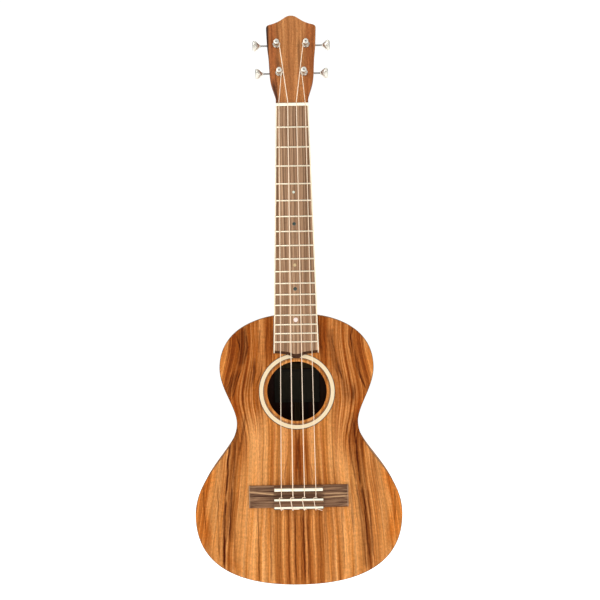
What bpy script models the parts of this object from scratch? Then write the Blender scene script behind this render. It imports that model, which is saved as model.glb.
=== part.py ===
"""A tenor ukulele, every piece its own solid: body shell, neck, bridge, strings and four geared tuners.

Metres, +Z towards the head, -Y out of the soundboard and +X to the treble side, seen from the front.
The origin is on the centre line, at the nut's fingerboard edge, in the soundboard's outer plane.
"""

import math

import bmesh
import bpy
from mathutils import Matrix, Vector

GAP = 0.0003  # between two pieces that touch
BEYOND = 0.01  # how far a through cut passes both faces

# Sides of round shapes
RING_SIDES = 40
BORE_SIDES = 12
SHAFT_SIDES = 16
HEXAGON_SIDES = 24  # of its bore; its outer points are moved onto the hexagon

# Scale and fingerboard
SCALE_LENGTH = 0.432
FRET_COUNT = 17
BOARD_THICKNESS = 0.0055
BOARD_HALF_AT_NUT = 0.0188
BOARD_HALF_AT_END = 0.0260
BOARD_SIDE_END = -0.2830
BINDING_WIDTH = 0.0013
BOARD_CHAMFER = 0.0033
BOARD_EDGE_RISE = 0.0016  # the chamfer starts this far above the top
BOARD_END = (
    (0.0170, -0.2838, 0.0034), (0.0100, -0.2850, 0.0036), (0.0068, -0.2864, 0.0042),
    (0.0040, -0.2884, 0.0050), (0.0, -0.2891, 0.0053),
)  # (half width, height, length of the chamfer) across the ogee end
FRET_WIDTH = 0.0020
FRET_HEIGHT = 0.0010

# Body, as half of its outline: turning points (half width, height) and the reach of their handles
BODY_TOP = Vector((0.0, -0.2381))
UPPER_BOUT = Vector((0.0886, -0.2998))
WAIST = Vector((0.0697, -0.3632))
LOWER_BOUT = Vector((0.1189, -0.4686))
BODY_TAIL = Vector((0.0, -0.5495))
TOP_REACH = 0.0581
UPPER_REACH = (0.0368, 0.0239)
WAIST_REACH = (0.0187, 0.0319)
LOWER_REACH = (0.0479, 0.0405)
TAIL_REACH = 0.0947
CURVE_STEPS = 9

PLATE_THICKNESS = 0.0022
RIB_THICKNESS = 0.0020
DEPTH_AT_NECK = 0.0620
DEPTH_AT_TAIL = 0.0720
LINING_WIDTH = 0.0050
LINING_HEIGHT = 0.0090
NECK_BLOCK_HALF = 0.0280
NECK_BLOCK_LENGTH = 0.0250
TAIL_BLOCK_HALF = 0.0300
TAIL_BLOCK_LENGTH = 0.0140

SOUND_HOLE_HEIGHT = -0.3272
SOUND_HOLE_RADIUS = 0.0342
ROSETTE_INNER = 0.03885
ROSETTE_OUTER = 0.04325
ROSETTE_DEPTH = 0.0012

BRACE_WIDTH = 0.0060
BRACE_HEIGHT = 0.0080
BRACE_END_HEIGHT = 0.0025
BRACE_SCALLOP = 0.0180
TOP_BRACE_HEIGHTS = {"upper": -0.2760, "lower": -0.3780}
BACK_BRACE_HEIGHTS = {"upper": -0.3000, "lower": -0.4550}
FAN_BRACE_X = 0.0340
FAN_BRACE_ENDS = (-0.3860, -0.5270)
BRIDGE_PLATE_HALF = 0.0640
BRIDGE_PLATE_ENDS = (-0.4300, -0.4680)
BRIDGE_PLATE_THICKNESS = 0.0020

# Bridge: heights run towards the tail, and a rise is measured out of the soundboard
BRIDGE_FRONT = -0.4347
BRIDGE_BACK = -0.4627
BRIDGE_HALF = 0.0571
BRIDGE_BLOCK_HALF = 0.0285
WING_BACK = -0.4604
WING_RISE = 0.0046
WING_TIP_RISE = 0.0030
SADDLE_FRONT = -0.4376
SADDLE_BACK = -0.4409
SADDLE_HALF = 0.0277
SADDLE_RISE = 0.0112
SADDLE_SEAT = 0.0035
TIE_BLOCK_RISE = 0.0086
TIE_STRIP_DEPTH = 0.0012
TIE_STRIPS = {"front": (-0.4495, -0.4523), "rear": (-0.4585, -0.4612)}

# Strings: name, x at the nut, x at the saddle, radius, tuner side and row
STRINGS = {
    "g": (-0.0150, -0.0197, 0.00038, -1, "lower"),
    "c": (-0.0050, -0.0066, 0.00051, -1, "upper"),
    "e": (0.0050, 0.0066, 0.00043, 1, "upper"),
    "a": (0.0150, 0.0197, 0.00036, 1, "lower"),
}
STRING_RISE_AT_NUT = 0.0069
STRING_RISE_AT_SADDLE = 0.0120
TIE_HOLE_RISE = 0.0060
TIE_HOLE_RADIUS = 0.0009
NUT_WIDTH = 0.0038
NUT_HALF = 0.0186
NUT_RISE = 0.0072

# Head: its own plane tilts back from the nut; v runs along it and w out of its face
HEAD_TILT = math.radians(12)
HEAD_FOOT = Vector((0.0, -0.0018, 0.0039))
HEAD_THICKNESS = 0.0148
VENEER_THICKNESS = 0.0018
HEAD_OUTLINE = (
    (0.0178, 0.0000), (0.0181, 0.0050), (0.0191, 0.0098), (0.0214, 0.0171), (0.0236, 0.0243),
    (0.0249, 0.0310), (0.0256, 0.0388), (0.0261, 0.0499), (0.0267, 0.0590), (0.0279, 0.0700),
    (0.0285, 0.0820), (0.0288, 0.0905), (0.0286, 0.0926), (0.0280, 0.0940), (0.0268, 0.0950),
    (0.0250, 0.0957), (0.0220, 0.0965), (0.0197, 0.0973), (0.0170, 0.0984), (0.0146, 0.0995),
    (0.0122, 0.1009), (0.0095, 0.1027), (0.0073, 0.1043), (0.0050, 0.1056), (0.0025, 0.1065),
)  # (half width, v)
HEAD_TIP = 0.1067
HEAD_OVERLAP = 0.0012  # how far the head's core runs into the neck

# Neck sections: height, half width at the front, depth, roundness of the D
NECK_SECTIONS = (
    (0.0038, 0.0182, 0.0136, 3.2),
    (-0.0050, 0.0187, 0.0136, 2.6),
    (-0.0200, 0.0191, 0.0134, 2.2),
    (-0.0700, 0.0204, 0.0138, 2.1),
    (-0.1300, 0.0219, 0.0146, 2.1),
    (-0.1800, 0.0232, 0.0155, 2.1),
    (-0.2000, 0.0237, 0.0175, 2.1),
    (-0.2120, 0.0240, 0.0225, 2.0),
    (-0.2200, 0.0242, 0.0310, 1.9),
    (-0.2260, 0.0244, 0.0420, 1.7),
    (-0.2310, 0.0245, 0.0510, 1.6),
    (-0.2360, 0.0246, 0.0560, 1.6),
    (-0.2460, 0.0249, 0.0590, 1.6),
)
SECTION_STEPS = 12

# Tuner: a runs outwards from the post, v along the head and w out of it, from the head's back face
TUNER_ROWS = {"upper": (0.01697, 0.0712), "lower": (0.01415, 0.0368)}  # (x, v) of the post
POST_RADIUS = 0.0029
POST_WAIST_RADIUS = 0.0024
POST_STUB_RADIUS = 0.0015
POST_TOP = HEAD_THICKNESS + 0.0112
POST_HOLE_RISE = HEAD_THICKNESS + 0.0072
POST_HOLE_RADIUS = 0.0007
POST_SHOULDER = -0.0034
DIMPLE_RADIUS = 0.0009
DIMPLE_DEPTH = 0.0012
BUSHING_HEX_RADIUS = 0.0049
BUSHING_SLEEVE_RADIUS = 0.0039
BUSHING_HEX_HEIGHT = 0.0020
BUSHING_SLEEVE_START = 0.0015
RUNNING_CLEARANCE = 0.00008
HOUSING_A = (-0.0062, 0.0094)
HOUSING_V = (-0.0062, 0.0098)
HOUSING_CORNER = 0.0022
HOUSING_WALL = 0.0016
HOUSING_BACK = -0.0089
COVER_THICKNESS = 0.0010
COLLAR_END = 0.0112
COLLAR_PROFILE = ((0.0030, 0.0080), (0.0026, HOUSING_A[1]), (0.0019, COLLAR_END))  # (radius, a)
WHEEL_ROOM_RADIUS = 0.0048
WORM_ROOM_HALF = 0.0049
WORM_ROOM_RADIUS = 0.0029
SHAFT_BLIND_END = -0.0058
WHEEL_TEETH = 14
WHEEL_PITCH_RADIUS = 0.0040
WHEEL_TIP_RADIUS = 0.0044
WHEEL_ROOT_RADIUS = 0.0033
WHEEL_THICKNESS = 0.0030
TOOTH_FOOT_HALF = 0.00045
TOOTH_TIP_HALF = 0.00022
GEAR_LEVEL = -0.0052  # w of the wheel's middle and of the worm's axis
WORM_OFFSET = 0.0060  # v of the worm's axis
WORM_TIP_RADIUS = 0.0025
WORM_ROOT_RADIUS = 0.0014
WORM_LEAD = 2 * math.pi * WHEEL_PITCH_RADIUS / WHEEL_TEETH
WORM_TURNS = 3
THREAD_SIDES = 12
THREAD_CREST_HALF = 0.0002
THREAD_FOOT_HALF = 0.0005
WORM_PITCH_RADIUS = WORM_OFFSET - WHEEL_PITCH_RADIUS
WORM_END = 0.0046
SHAFT_RADIUS = 0.00105
SHAFT_START = -0.0056
SHAFT_IN_BUTTON = 0.0052
BUTTON_START = 0.0189
BUTTON_SECTIONS = (
    (0.0000, 0.0019, 0.0019), (0.0012, 0.0021, 0.0020), (0.0030, 0.0038, 0.0028),
    (0.0052, 0.0055, 0.0034), (0.0072, 0.0062, 0.0036), (0.0086, 0.0058, 0.0033),
    (0.0093, 0.0045, 0.0024),
)  # (distance outwards, half width, half thickness)
BUTTON_TURN = {"g": 30.0, "c": 20.0, "e": 12.0, "a": 24.0}  # degrees the button rests at

WOOD_ACACIA = (0.62, 0.33, 0.13)
WOOD_MAHOGANY = (0.36, 0.15, 0.06)
WOOD_WALNUT = (0.30, 0.20, 0.13)
WOOD_SPRUCE = (0.75, 0.58, 0.36)
IVOROID = (0.92, 0.84, 0.66)
NYLON = (0.88, 0.80, 0.66)
CHROME = (0.80, 0.80, 0.78)
GEAR_STEEL = (0.45, 0.45, 0.46)


# ---------------------------------------------------------------- making solids

def material(name, colour, roughness, metallic=0.0):
    made = bpy.data.materials.new(name)
    made.use_nodes = True
    shader = made.node_tree.nodes["Principled BSDF"]
    shader.inputs["Base Color"].default_value = (*colour, 1.0)
    shader.inputs["Roughness"].default_value = roughness
    shader.inputs["Metallic"].default_value = metallic
    return made


def wood(name, colour, roughness=0.4):
    return material(name, colour, roughness)


def link(name, mesh, finish, parent=None):
    """An object of the mesh, in the scene, with its own material."""
    piece = bpy.data.objects.new(name, mesh)
    bpy.context.scene.collection.objects.link(piece)
    piece.parent = parent
    if finish:
        mesh.materials.append(finish)
    return piece


def mesh_of(build, name):
    """A mesh from the bmesh that the function build fills, facing out."""
    work = bmesh.new()
    build(work)
    bmesh.ops.recalc_face_normals(work, faces=work.faces)
    mesh = bpy.data.meshes.new(name)
    work.to_mesh(mesh)
    work.free()
    return mesh


def loft(name, rings, finish=None, parent=None, closed=False, smooth=False):
    """A solid through rings of equally many points; closed joins the last ring to the first."""
    def build(work):
        rows = [[work.verts.new(point) for point in ring] for ring in rings]
        pairs = list(zip(rows, rows[1:]))
        if closed:
            pairs.append((rows[-1], rows[0]))
        else:
            work.faces.new(rows[0])
            work.faces.new(rows[-1])
        for low, high in pairs:
            count = len(low)
            for i in range(count):
                j = (i + 1) % count
                work.faces.new((low[i], low[j], high[j], high[i]))

    mesh = mesh_of(build, name)
    if smooth:
        mesh.shade_smooth()
        mesh.set_sharp_from_angle(angle=math.radians(35))
    return link(name, mesh, finish, parent)


def slab(name, outline, front, back, finish=None):
    """An outline (x, z) as thick as from y = front to y = back, each a number or a function of z."""
    def level(side, z):
        return side(z) if callable(side) else side

    rings = [[(x, level(side, z), z) for x, z in outline] for side in (front, back)]
    return loft(name, rings, finish)


def circle(radius, count, along, place):
    """A ring of points about the x, y or z axis, moved to place."""
    points = []
    for i in range(count):
        angle = 2 * math.pi * i / count
        across = (radius * math.cos(angle), radius * math.sin(angle))
        point = {"x": (0.0, *across), "y": (across[0], 0.0, across[1]), "z": (*across, 0.0)}[along]
        points.append(Vector(point) + Vector(place))
    return points


def turned(name, profile, along, place, count=SHAFT_SIDES, finish=None, parent=None, closed=False):
    """A turned solid of a profile (radius, distance along the axis)."""
    axis = {"x": Vector((1, 0, 0)), "y": Vector((0, 1, 0)), "z": Vector((0, 0, 1))}[along]
    rings = [circle(radius, count, along, Vector(place) + axis * reach) for radius, reach in profile]
    return loft(name, rings, finish, parent, closed, smooth=True)


def ring_profile(inner, outer, start, end):
    """A square-edged ring's profile for turned()."""
    return ((inner, start), (outer, start), (outer, end), (inner, end))


def cutter(piece):
    piece.hide_render = True
    piece.display_type = "WIRE"
    return piece


def combine(piece, other, operation="DIFFERENCE"):
    """Cuts other from the piece, or joins it on, and hides other."""
    cutter(other)
    step = piece.modifiers.new(f"{operation.lower()} {other.name}", "BOOLEAN")
    step.operation = operation
    step.solver = "EXACT"
    step.object = other
    return piece


def drill(piece, radius, start, end, along, count=BORE_SIDES, parent=None):
    """A round hole in the piece, from start to end along an axis through start."""
    reach = {"x": 0, "y": 1, "z": 2}[along]
    length = end - start[reach]
    profile = ((radius, 0.0), (radius, length)) if length > 0 else ((radius, length), (radius, 0.0))
    return combine(piece, turned(f"hole in {piece.name}", profile, along, start, count, None, parent))


# ---------------------------------------------------------------- the body's outline

def body_curves():
    """The half outline's four Bezier stretches, from the neck to the tail."""
    along = Vector((1.0, 0.0))
    up = Vector((0.0, 1.0))
    return (
        (BODY_TOP, BODY_TOP + along * TOP_REACH, UPPER_BOUT + up * UPPER_REACH[0], UPPER_BOUT),
        (UPPER_BOUT, UPPER_BOUT - up * UPPER_REACH[1], WAIST + up * WAIST_REACH[0], WAIST),
        (WAIST, WAIST - up * WAIST_REACH[1], LOWER_BOUT + up * LOWER_REACH[0], LOWER_BOUT),
        (LOWER_BOUT, LOWER_BOUT - up * LOWER_REACH[1], BODY_TAIL + along * TAIL_REACH, BODY_TAIL),
    )


def half_outline(inset=0.0):
    """Points (x, z) of the treble half, from the neck to the tail, moved inwards by inset."""
    points = []
    for p0, p1, p2, p3 in body_curves():
        for i in range(CURVE_STEPS + (p3 == BODY_TAIL)):
            t = i / CURVE_STEPS
            s = 1 - t
            place = s**3 * p0 + 3 * s * s * t * p1 + 3 * s * t * t * p2 + t**3 * p3
            heading = (s * s * (p1 - p0) + 2 * s * t * (p2 - p1) + t * t * (p3 - p2)).normalized()
            inwards = Vector((heading.y, -heading.x))
            points.append(place + inwards * inset)
    return [(max(x, 0.0), z) for x, z in points]


def mirrored(points):
    """A whole outline from its treble half, whose ends lie on the centre line."""
    return list(points) + [(-x, z) for x, z in reversed(points[1:-1])]


def half_width(height, inset):
    """How far the inset outline reaches from the centre line at a height."""
    points = half_outline(inset)
    for (x0, z0), (x1, z1) in zip(points, points[1:]):
        if z1 <= height <= z0:
            return x0 + (x1 - x0) * (z0 - height) / (z0 - z1)
    raise ValueError(height)


def end_arc(inset, reach, tail):
    """The inset outline's stretch at the neck or the tail, from the centre line to x = reach."""
    points = half_outline(inset)
    if tail:
        points = points[::-1]
    kept = []
    for (x0, z0), (x1, z1) in zip(points, points[1:]):
        kept.append((x0, z0))
        if x1 >= reach:
            kept.append((reach, z0 + (z1 - z0) * (reach - x0) / (x1 - x0)))
            return kept
    raise ValueError(reach)


def back_outside(z):
    along = (BODY_TOP.y - z) / (BODY_TOP.y - BODY_TAIL.y)
    return DEPTH_AT_NECK + (DEPTH_AT_TAIL - DEPTH_AT_NECK) * along


def back_inside(z):
    return back_outside(z) - PLATE_THICKNESS


# ---------------------------------------------------------------- body

def make_soundboard():
    """The top with its sound hole, and the rosette ring in its channel."""
    finish = wood("soundboard", WOOD_ACACIA)
    board = slab("soundboard", mirrored(half_outline()), 0.0, PLATE_THICKNESS, finish)
    centre = (0, 0, SOUND_HOLE_HEIGHT)
    through = ((SOUND_HOLE_RADIUS, -BEYOND), (SOUND_HOLE_RADIUS, BEYOND))
    combine(board, turned("sound hole", through, "y", centre, RING_SIDES))
    channel = ring_profile(ROSETTE_INNER - GAP, ROSETTE_OUTER + GAP, -BEYOND, ROSETTE_DEPTH + GAP)
    combine(board, turned("rosette channel", channel, "y", centre, RING_SIDES, closed=True))
    profile = ring_profile(ROSETTE_INNER, ROSETTE_OUTER, 0.0, ROSETTE_DEPTH)
    finish = material("rosette_ring", IVOROID, 0.4)
    turned("rosette_ring", profile, "y", centre, RING_SIDES, finish, closed=True)


def make_shell():
    slab("back_plate", mirrored(half_outline()), back_inside, back_outside, wood("back_plate", WOOD_ACACIA))
    outer = half_outline()
    inner = half_outline(RIB_THICKNESS)
    for side, name in ((-1, "rib_bass"), (1, "rib_treble")):
        ring = [(side * max(x, GAP / 2), z) for x, z in outer + inner[::-1]]
        slab(name, ring, PLATE_THICKNESS + GAP, lambda z: back_inside(z) - GAP, wood(name, WOOD_ACACIA))


def make_linings():
    """A kerfed strip in each corner where a rib meets a plate, between the two end blocks."""
    near = RIB_THICKNESS + GAP
    pairs = list(zip(half_outline(near), half_outline(near + LINING_WIDTH)))
    neck_end = BODY_TOP.y - RIB_THICKNESS - NECK_BLOCK_LENGTH / 2
    kept = [
        (a, b) for a, b in pairs
        if (b[0] > NECK_BLOCK_HALF + GAP or a[1] < neck_end) and b[0] > TAIL_BLOCK_HALF + GAP
    ]
    outline = [a for a, b in kept] + [b for a, b in reversed(kept)]
    front = PLATE_THICKNESS + GAP
    levels = {
        "top": (front, front + LINING_HEIGHT),
        "back": (lambda z: back_inside(z) - GAP - LINING_HEIGHT, lambda z: back_inside(z) - GAP),
    }
    for where, (low, high) in levels.items():
        for side, name in ((-1, "bass"), (1, "treble")):
            ring = [(side * x, z) for x, z in outline]
            slab(f"lining_{where}_{name}", ring, low, high, wood(f"lining_{where}_{name}", WOOD_SPRUCE))


def make_blocks():
    blocks = (
        ("neck_block", NECK_BLOCK_HALF, -NECK_BLOCK_LENGTH, False),
        ("tail_block", TAIL_BLOCK_HALF, TAIL_BLOCK_LENGTH, True),
    )
    for name, half, length, tail in blocks:
        arc = end_arc(RIB_THICKNESS + GAP, half, tail)
        corner = (half, arc[0][1] + length)
        ring = mirrored(arc + [corner, (0.0, corner[1])])
        slab(name, ring, PLATE_THICKNESS + GAP, lambda z: back_inside(z) - GAP, wood(name, WOOD_MAHOGANY))


def brace(name, half, height, near, outwards):
    """A cross brace with scalloped ends, on the inner face near(z), rising in the direction outwards."""
    profile = (
        (-half, 0.0), (-half, BRACE_END_HEIGHT), (-half + BRACE_SCALLOP, BRACE_HEIGHT),
        (half - BRACE_SCALLOP, BRACE_HEIGHT), (half, BRACE_END_HEIGHT), (half, 0.0),
    )
    rings = []
    for z in (height - BRACE_WIDTH / 2, height + BRACE_WIDTH / 2):
        rings.append([(x, near(z) + outwards * (GAP + rise), z) for x, rise in profile])
    loft(name, rings, wood(name, WOOD_SPRUCE))


def brace_half(height):
    """Half the length that a cross brace has between the linings."""
    inset = RIB_THICKNESS + LINING_WIDTH + 3 * GAP
    return min(half_width(height + side * BRACE_WIDTH / 2, inset) for side in (-1, 1))


def make_braces():
    for where, height in TOP_BRACE_HEIGHTS.items():
        brace(f"top_brace_{where}", brace_half(height), height, lambda z: PLATE_THICKNESS, 1)
    for where, height in BACK_BRACE_HEIGHTS.items():
        brace(f"back_brace_{where}", brace_half(height), height, back_inside, -1)
    for side, name in ((-1, "fan_brace_bass"), (1, "fan_brace_treble")):
        fan_brace(name, side)
    x = BRIDGE_PLATE_HALF
    top, bottom = BRIDGE_PLATE_ENDS
    plate = [(-x, top), (x, top), (x, bottom), (-x, bottom)]
    front = PLATE_THICKNESS + GAP
    slab("bridge_plate", plate, front, front + BRIDGE_PLATE_THICKNESS, wood("bridge_plate", WOOD_MAHOGANY))


def fan_brace(name, side):
    """A lengthwise brace under the soundboard, notched where it passes over the bridge plate."""
    high, low = FAN_BRACE_ENDS
    notch = BRIDGE_PLATE_THICKNESS + GAP
    profile = (
        (high, 0.0), (BRIDGE_PLATE_ENDS[0] + GAP, 0.0), (BRIDGE_PLATE_ENDS[0] + GAP, notch),
        (BRIDGE_PLATE_ENDS[1] - GAP, notch), (BRIDGE_PLATE_ENDS[1] - GAP, 0.0), (low, 0.0),
        (low, BRACE_END_HEIGHT), (low + BRACE_SCALLOP, BRACE_HEIGHT),
        (high - BRACE_SCALLOP, BRACE_HEIGHT), (high, BRACE_END_HEIGHT),
    )
    rings = []
    for across in (-BRACE_WIDTH / 2, BRACE_WIDTH / 2):
        x = side * FAN_BRACE_X + across
        rings.append([(x, PLATE_THICKNESS + GAP + rise, z) for z, rise in profile])
    loft(name, rings, wood(name, WOOD_SPRUCE))


# ---------------------------------------------------------------- neck and fingerboard

def head_point(u, v, w):
    """A point of the head: u across, v along it from the nut and w out of its face."""
    along = Vector((0.0, math.sin(HEAD_TILT), math.cos(HEAD_TILT)))
    out = Vector((0.0, -math.cos(HEAD_TILT), math.sin(HEAD_TILT)))
    return HEAD_FOOT + Vector((u, 0.0, 0.0)) + along * v + out * w


def head_slab(name, foot, front, back, finish=None):
    """The head's outline from v = foot to the tip, as thick as from w = back to w = front."""
    half = [(u, max(v, foot)) for u, v in HEAD_OUTLINE]
    outline = half + [(0.0, HEAD_TIP)] + [(-u, v) for u, v in reversed(half)]
    return loft(name, [[head_point(u, v, w) for u, v in outline] for w in (back, front)], finish)


def neck_ring(height, half, depth, roundness):
    """A D section of the neck: flat in front, rounded behind."""
    ring = []
    for i in range(SECTION_STEPS + 1):
        angle = math.pi * i / SECTION_STEPS
        x = half * math.copysign(abs(math.cos(angle)) ** (2 / roundness), math.cos(angle))
        y = depth * abs(math.sin(angle)) ** (2 / roundness)
        ring.append((x, y, height))
    return ring


def make_neck():
    """The neck and its heel, joined to the head's core, and the veneer, all bored for the posts."""
    sections = [neck_ring(*section) for section in NECK_SECTIONS]
    neck = loft("neck", sections, wood("neck", WOOD_MAHOGANY), smooth=True)
    core = head_slab("head core", -HEAD_OVERLAP, -VENEER_THICKNESS - GAP, -HEAD_THICKNESS)
    combine(neck, core, "UNION")
    combine(neck, slab("body space", mirrored(half_outline(-GAP)), -BEYOND, DEPTH_AT_TAIL + BEYOND))
    finish = wood("headstock_veneer", WOOD_MAHOGANY)
    veneer = head_slab("headstock_veneer", GAP, 0.0, -VENEER_THICKNESS, finish)
    hole = circle(BUSHING_SLEEVE_RADIUS + GAP, SHAFT_SIDES, "z", (0, 0, 0))
    for _, _, _, side, row in STRINGS.values():
        x, v = TUNER_ROWS[row]
        for piece in (neck, veneer):
            rings = []
            for w in (-HEAD_THICKNESS - BEYOND, BEYOND):
                rings.append([head_point(side * x + du, v + dv, w) for du, dv, _ in hole])
            combine(piece, loft(f"post hole in {piece.name}", rings))


def board_half(z):
    """The fingerboard's half width with its binding."""
    return BOARD_HALF_AT_NUT + (BOARD_HALF_AT_END - BOARD_HALF_AT_NUT) * z / BOARD_SIDE_END


def make_fingerboard():
    """The walnut board, whose end is an ogee with a sloping edge, with the frets standing on it."""
    wood_in = BINDING_WIDTH + GAP
    side = board_half(BOARD_SIDE_END) - wood_in
    corner = (board_half(0) - wood_in, -GAP)
    low = [corner, (side, BOARD_SIDE_END)] + [(x, z) for x, z, _ in BOARD_END]
    high_end = BOARD_SIDE_END + BOARD_CHAMFER
    high = [corner, (board_half(high_end) - wood_in, high_end)] + [(x, z + rise) for x, z, rise in BOARD_END]
    rings = []
    for half, y in ((low, -GAP), (low, -BOARD_EDGE_RISE), (high, -BOARD_THICKNESS)):
        outline = half + [(-x, z) for x, z in reversed(half[:-1])]
        rings.append([(x, y, z) for x, z in outline])
    board = loft("fingerboard", rings, wood("fingerboard", WOOD_WALNUT, 0.55))
    combine(board, make_frets(), "UNION")
    for direction, name in ((-1, "binding_bass"), (1, "binding_treble")):
        fingerboard_binding(name, direction)


def fret_height(number):
    """The distance down the neck of a fret, by the rule of the twelfth root of two."""
    return -SCALE_LENGTH * (1 - 2 ** (-number / 12))


def make_frets():
    """Every fret as one mesh: a crowned bar whose foot is sunk in the board."""
    half_foot = FRET_WIDTH / 2
    half_crown = half_foot / 2
    sunk = -0.0006
    shoulder = 0.0003
    profile = (
        (-half_foot, sunk), (-half_foot, shoulder), (-half_crown, FRET_HEIGHT),
        (half_crown, FRET_HEIGHT), (half_foot, shoulder), (half_foot, sunk),
    )

    def build(work):
        for number in range(1, FRET_COUNT + 1):
            z = fret_height(number)
            half = board_half(z) - BINDING_WIDTH - 2 * GAP
            rows = []
            for x in (-half, half):
                rows.append([work.verts.new((x, -BOARD_THICKNESS - rise, z + dz)) for dz, rise in profile])
            work.faces.new(rows[0])
            work.faces.new(rows[1])
            for i in range(len(profile)):
                j = (i + 1) % len(profile)
                work.faces.new((rows[0][i], rows[0][j], rows[1][j], rows[1][i]))

    return link("frets", mesh_of(build, "frets"), None)


def fingerboard_binding(name, direction):
    """A strip along one side of the board, chamfered at its end like the board."""
    start = -GAP
    high_end = BOARD_SIDE_END + BOARD_CHAMFER
    rings = []
    for y, end in ((-GAP, BOARD_SIDE_END), (-BOARD_EDGE_RISE, BOARD_SIDE_END), (-BOARD_THICKNESS, high_end)):
        ring = [(board_half(start), start), (board_half(end), end)]
        ring += [(board_half(end) - BINDING_WIDTH, end), (board_half(start) - BINDING_WIDTH, start)]
        rings.append([(direction * x, y, z) for x, z in ring])
    loft(name, rings, material(name, IVOROID, 0.35))


def make_nut():
    """The nut, whose crest falls away towards the head, slotted for the strings."""
    profile = (
        (GAP, GAP), (GAP, NUT_RISE), (NUT_WIDTH * 0.55, NUT_RISE + 0.0002),
        (NUT_WIDTH * 0.9, NUT_RISE - 0.0008), (NUT_WIDTH, NUT_RISE - 0.0022), (NUT_WIDTH, GAP),
    )
    rings = [[(x, -rise, z) for z, rise in profile] for x in (-NUT_HALF, NUT_HALF)]
    nut = loft("nut", rings, material("nut", IVOROID, 0.35))
    for x, _, radius, _, _ in STRINGS.values():
        drill(nut, radius + GAP, (x, -STRING_RISE_AT_NUT, -0.002), 0.006, "z", 12)


# ---------------------------------------------------------------- bridge

def wing_ring(x, rise):
    """The wing's section at x: a low crowned strip with as many points as the block's section."""
    upper = 12
    ring = [(x, -GAP, BRIDGE_FRONT)]
    for i in range(upper + 1):
        t = i / upper
        z = BRIDGE_FRONT + (WING_BACK - BRIDGE_FRONT) * t
        crown = rise * (1 - 0.45 * abs(2 * t - 1) ** 6)
        ring.append((x, -crown, z))
    ring.append((x, -GAP, WING_BACK))
    return ring


def block_ring(x):
    """The middle block's section: a ramp with the saddle, a trough and the tie block."""
    front_start, front_end = TIE_STRIPS["front"]
    rear_start, rear_end = TIE_STRIPS["rear"]
    rebate = TIE_BLOCK_RISE - TIE_STRIP_DEPTH - GAP
    ramp_top, trough = 0.0072, 0.0044
    profile = (
        (BRIDGE_FRONT, GAP), (BRIDGE_FRONT, 0.0034), (-0.4360, 0.0066), (-0.4368, ramp_top),
        (-0.4424, ramp_top), (-0.4446, trough), (front_start, trough), (front_start, rebate),
        (front_end - GAP, rebate), (front_end - GAP, TIE_BLOCK_RISE),
        (rear_start + GAP, TIE_BLOCK_RISE), (rear_start + GAP, rebate), (rear_end, rebate),
        (BRIDGE_BACK, 0.0030), (BRIDGE_BACK, GAP),
    )
    return [(x, -rise, z) for z, rise in profile]


def make_bridge():
    edge = 0.0001
    wing = [wing_ring(BRIDGE_HALF, WING_TIP_RISE), wing_ring(0.0480, WING_RISE - 0.0006)]
    wing.append(wing_ring(BRIDGE_BLOCK_HALF + edge, WING_RISE))
    block = block_ring(BRIDGE_BLOCK_HALF - edge)
    rings = wing + [block]
    rings += [[(-x, y, z) for x, y, z in ring] for ring in reversed(rings)]
    bridge = loft("bridge", rings, wood("bridge", WOOD_WALNUT, 0.5))
    combine(bridge, saddle_block("saddle slot", GAP, 0.02))
    saddle_block("saddle", 0.0, SADDLE_RISE, material("saddle", IVOROID, 0.35))
    for _, x, _, _, _ in STRINGS.values():
        drill(bridge, TIE_HOLE_RADIUS, (x, -TIE_HOLE_RISE, -0.4470), -0.4660, "z", 12)
    for where, (near, far) in TIE_STRIPS.items():
        rings = []
        for z in (near, far):
            low, high = TIE_BLOCK_RISE - TIE_STRIP_DEPTH, TIE_BLOCK_RISE
            x = BRIDGE_BLOCK_HALF
            rings.append([(-x, -low, z), (x, -low, z), (x, -high, z), (-x, -high, z)])
        loft(f"tie_strip_{where}", rings, material(f"tie_strip_{where}", IVOROID, 0.35))


def saddle_block(name, spare, rise, finish=None):
    """The saddle with its rounded crest, or with spare the slot that it stands in."""
    x = SADDLE_HALF + spare
    front, back = SADDLE_FRONT + spare, SADDLE_BACK - spare
    low = SADDLE_SEAT - spare
    profile = (
        (front, low), (front, rise - 0.0009), (front - 0.0009, rise - 0.0001), (back + 0.0010, rise),
        (back, rise - 0.0009), (back, low),
    )
    rings = [[(side * x, -height, z) for z, height in profile] for side in (-1, 1)]
    return loft(name, rings, finish)


# ---------------------------------------------------------------- strings

def string_route(name):
    """The string's centre line: from its loop on the tie block, over saddle and nut, to its post."""
    x_nut, x_saddle, radius, side, row = STRINGS[name]
    saddle_z = (SADDLE_FRONT + SADDLE_BACK) / 2
    over_block = TIE_BLOCK_RISE + GAP + radius
    post_x, post_v = TUNER_ROWS[row]
    beside_post = post_x - POST_RADIUS - GAP - radius
    rise = POST_HOLE_RISE - HEAD_THICKNESS
    end = head_point(side * beside_post, post_v, rise)
    return [
        (x_saddle - 0.0026, -over_block + 0.0004, -0.4485),
        (x_saddle - 0.0022, -over_block, -0.4500),
        (x_saddle - 0.0008, -over_block, -0.4606),
        (x_saddle - 0.0005, -over_block + 0.0010, -0.4630),
        (x_saddle - 0.0002, -TIE_HOLE_RISE - 0.0008, -0.4640),
        (x_saddle, -TIE_HOLE_RISE, -0.4632),
        (x_saddle, -TIE_HOLE_RISE, -0.4490),
        (x_saddle, -STRING_RISE_AT_SADDLE, saddle_z - 0.0006),
        (x_saddle, -STRING_RISE_AT_SADDLE, saddle_z + 0.0006),
        (x_nut, -STRING_RISE_AT_NUT, 0.0),
        (x_nut, -STRING_RISE_AT_NUT, NUT_WIDTH * 0.55),
        tuple(end),
    ]


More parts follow.
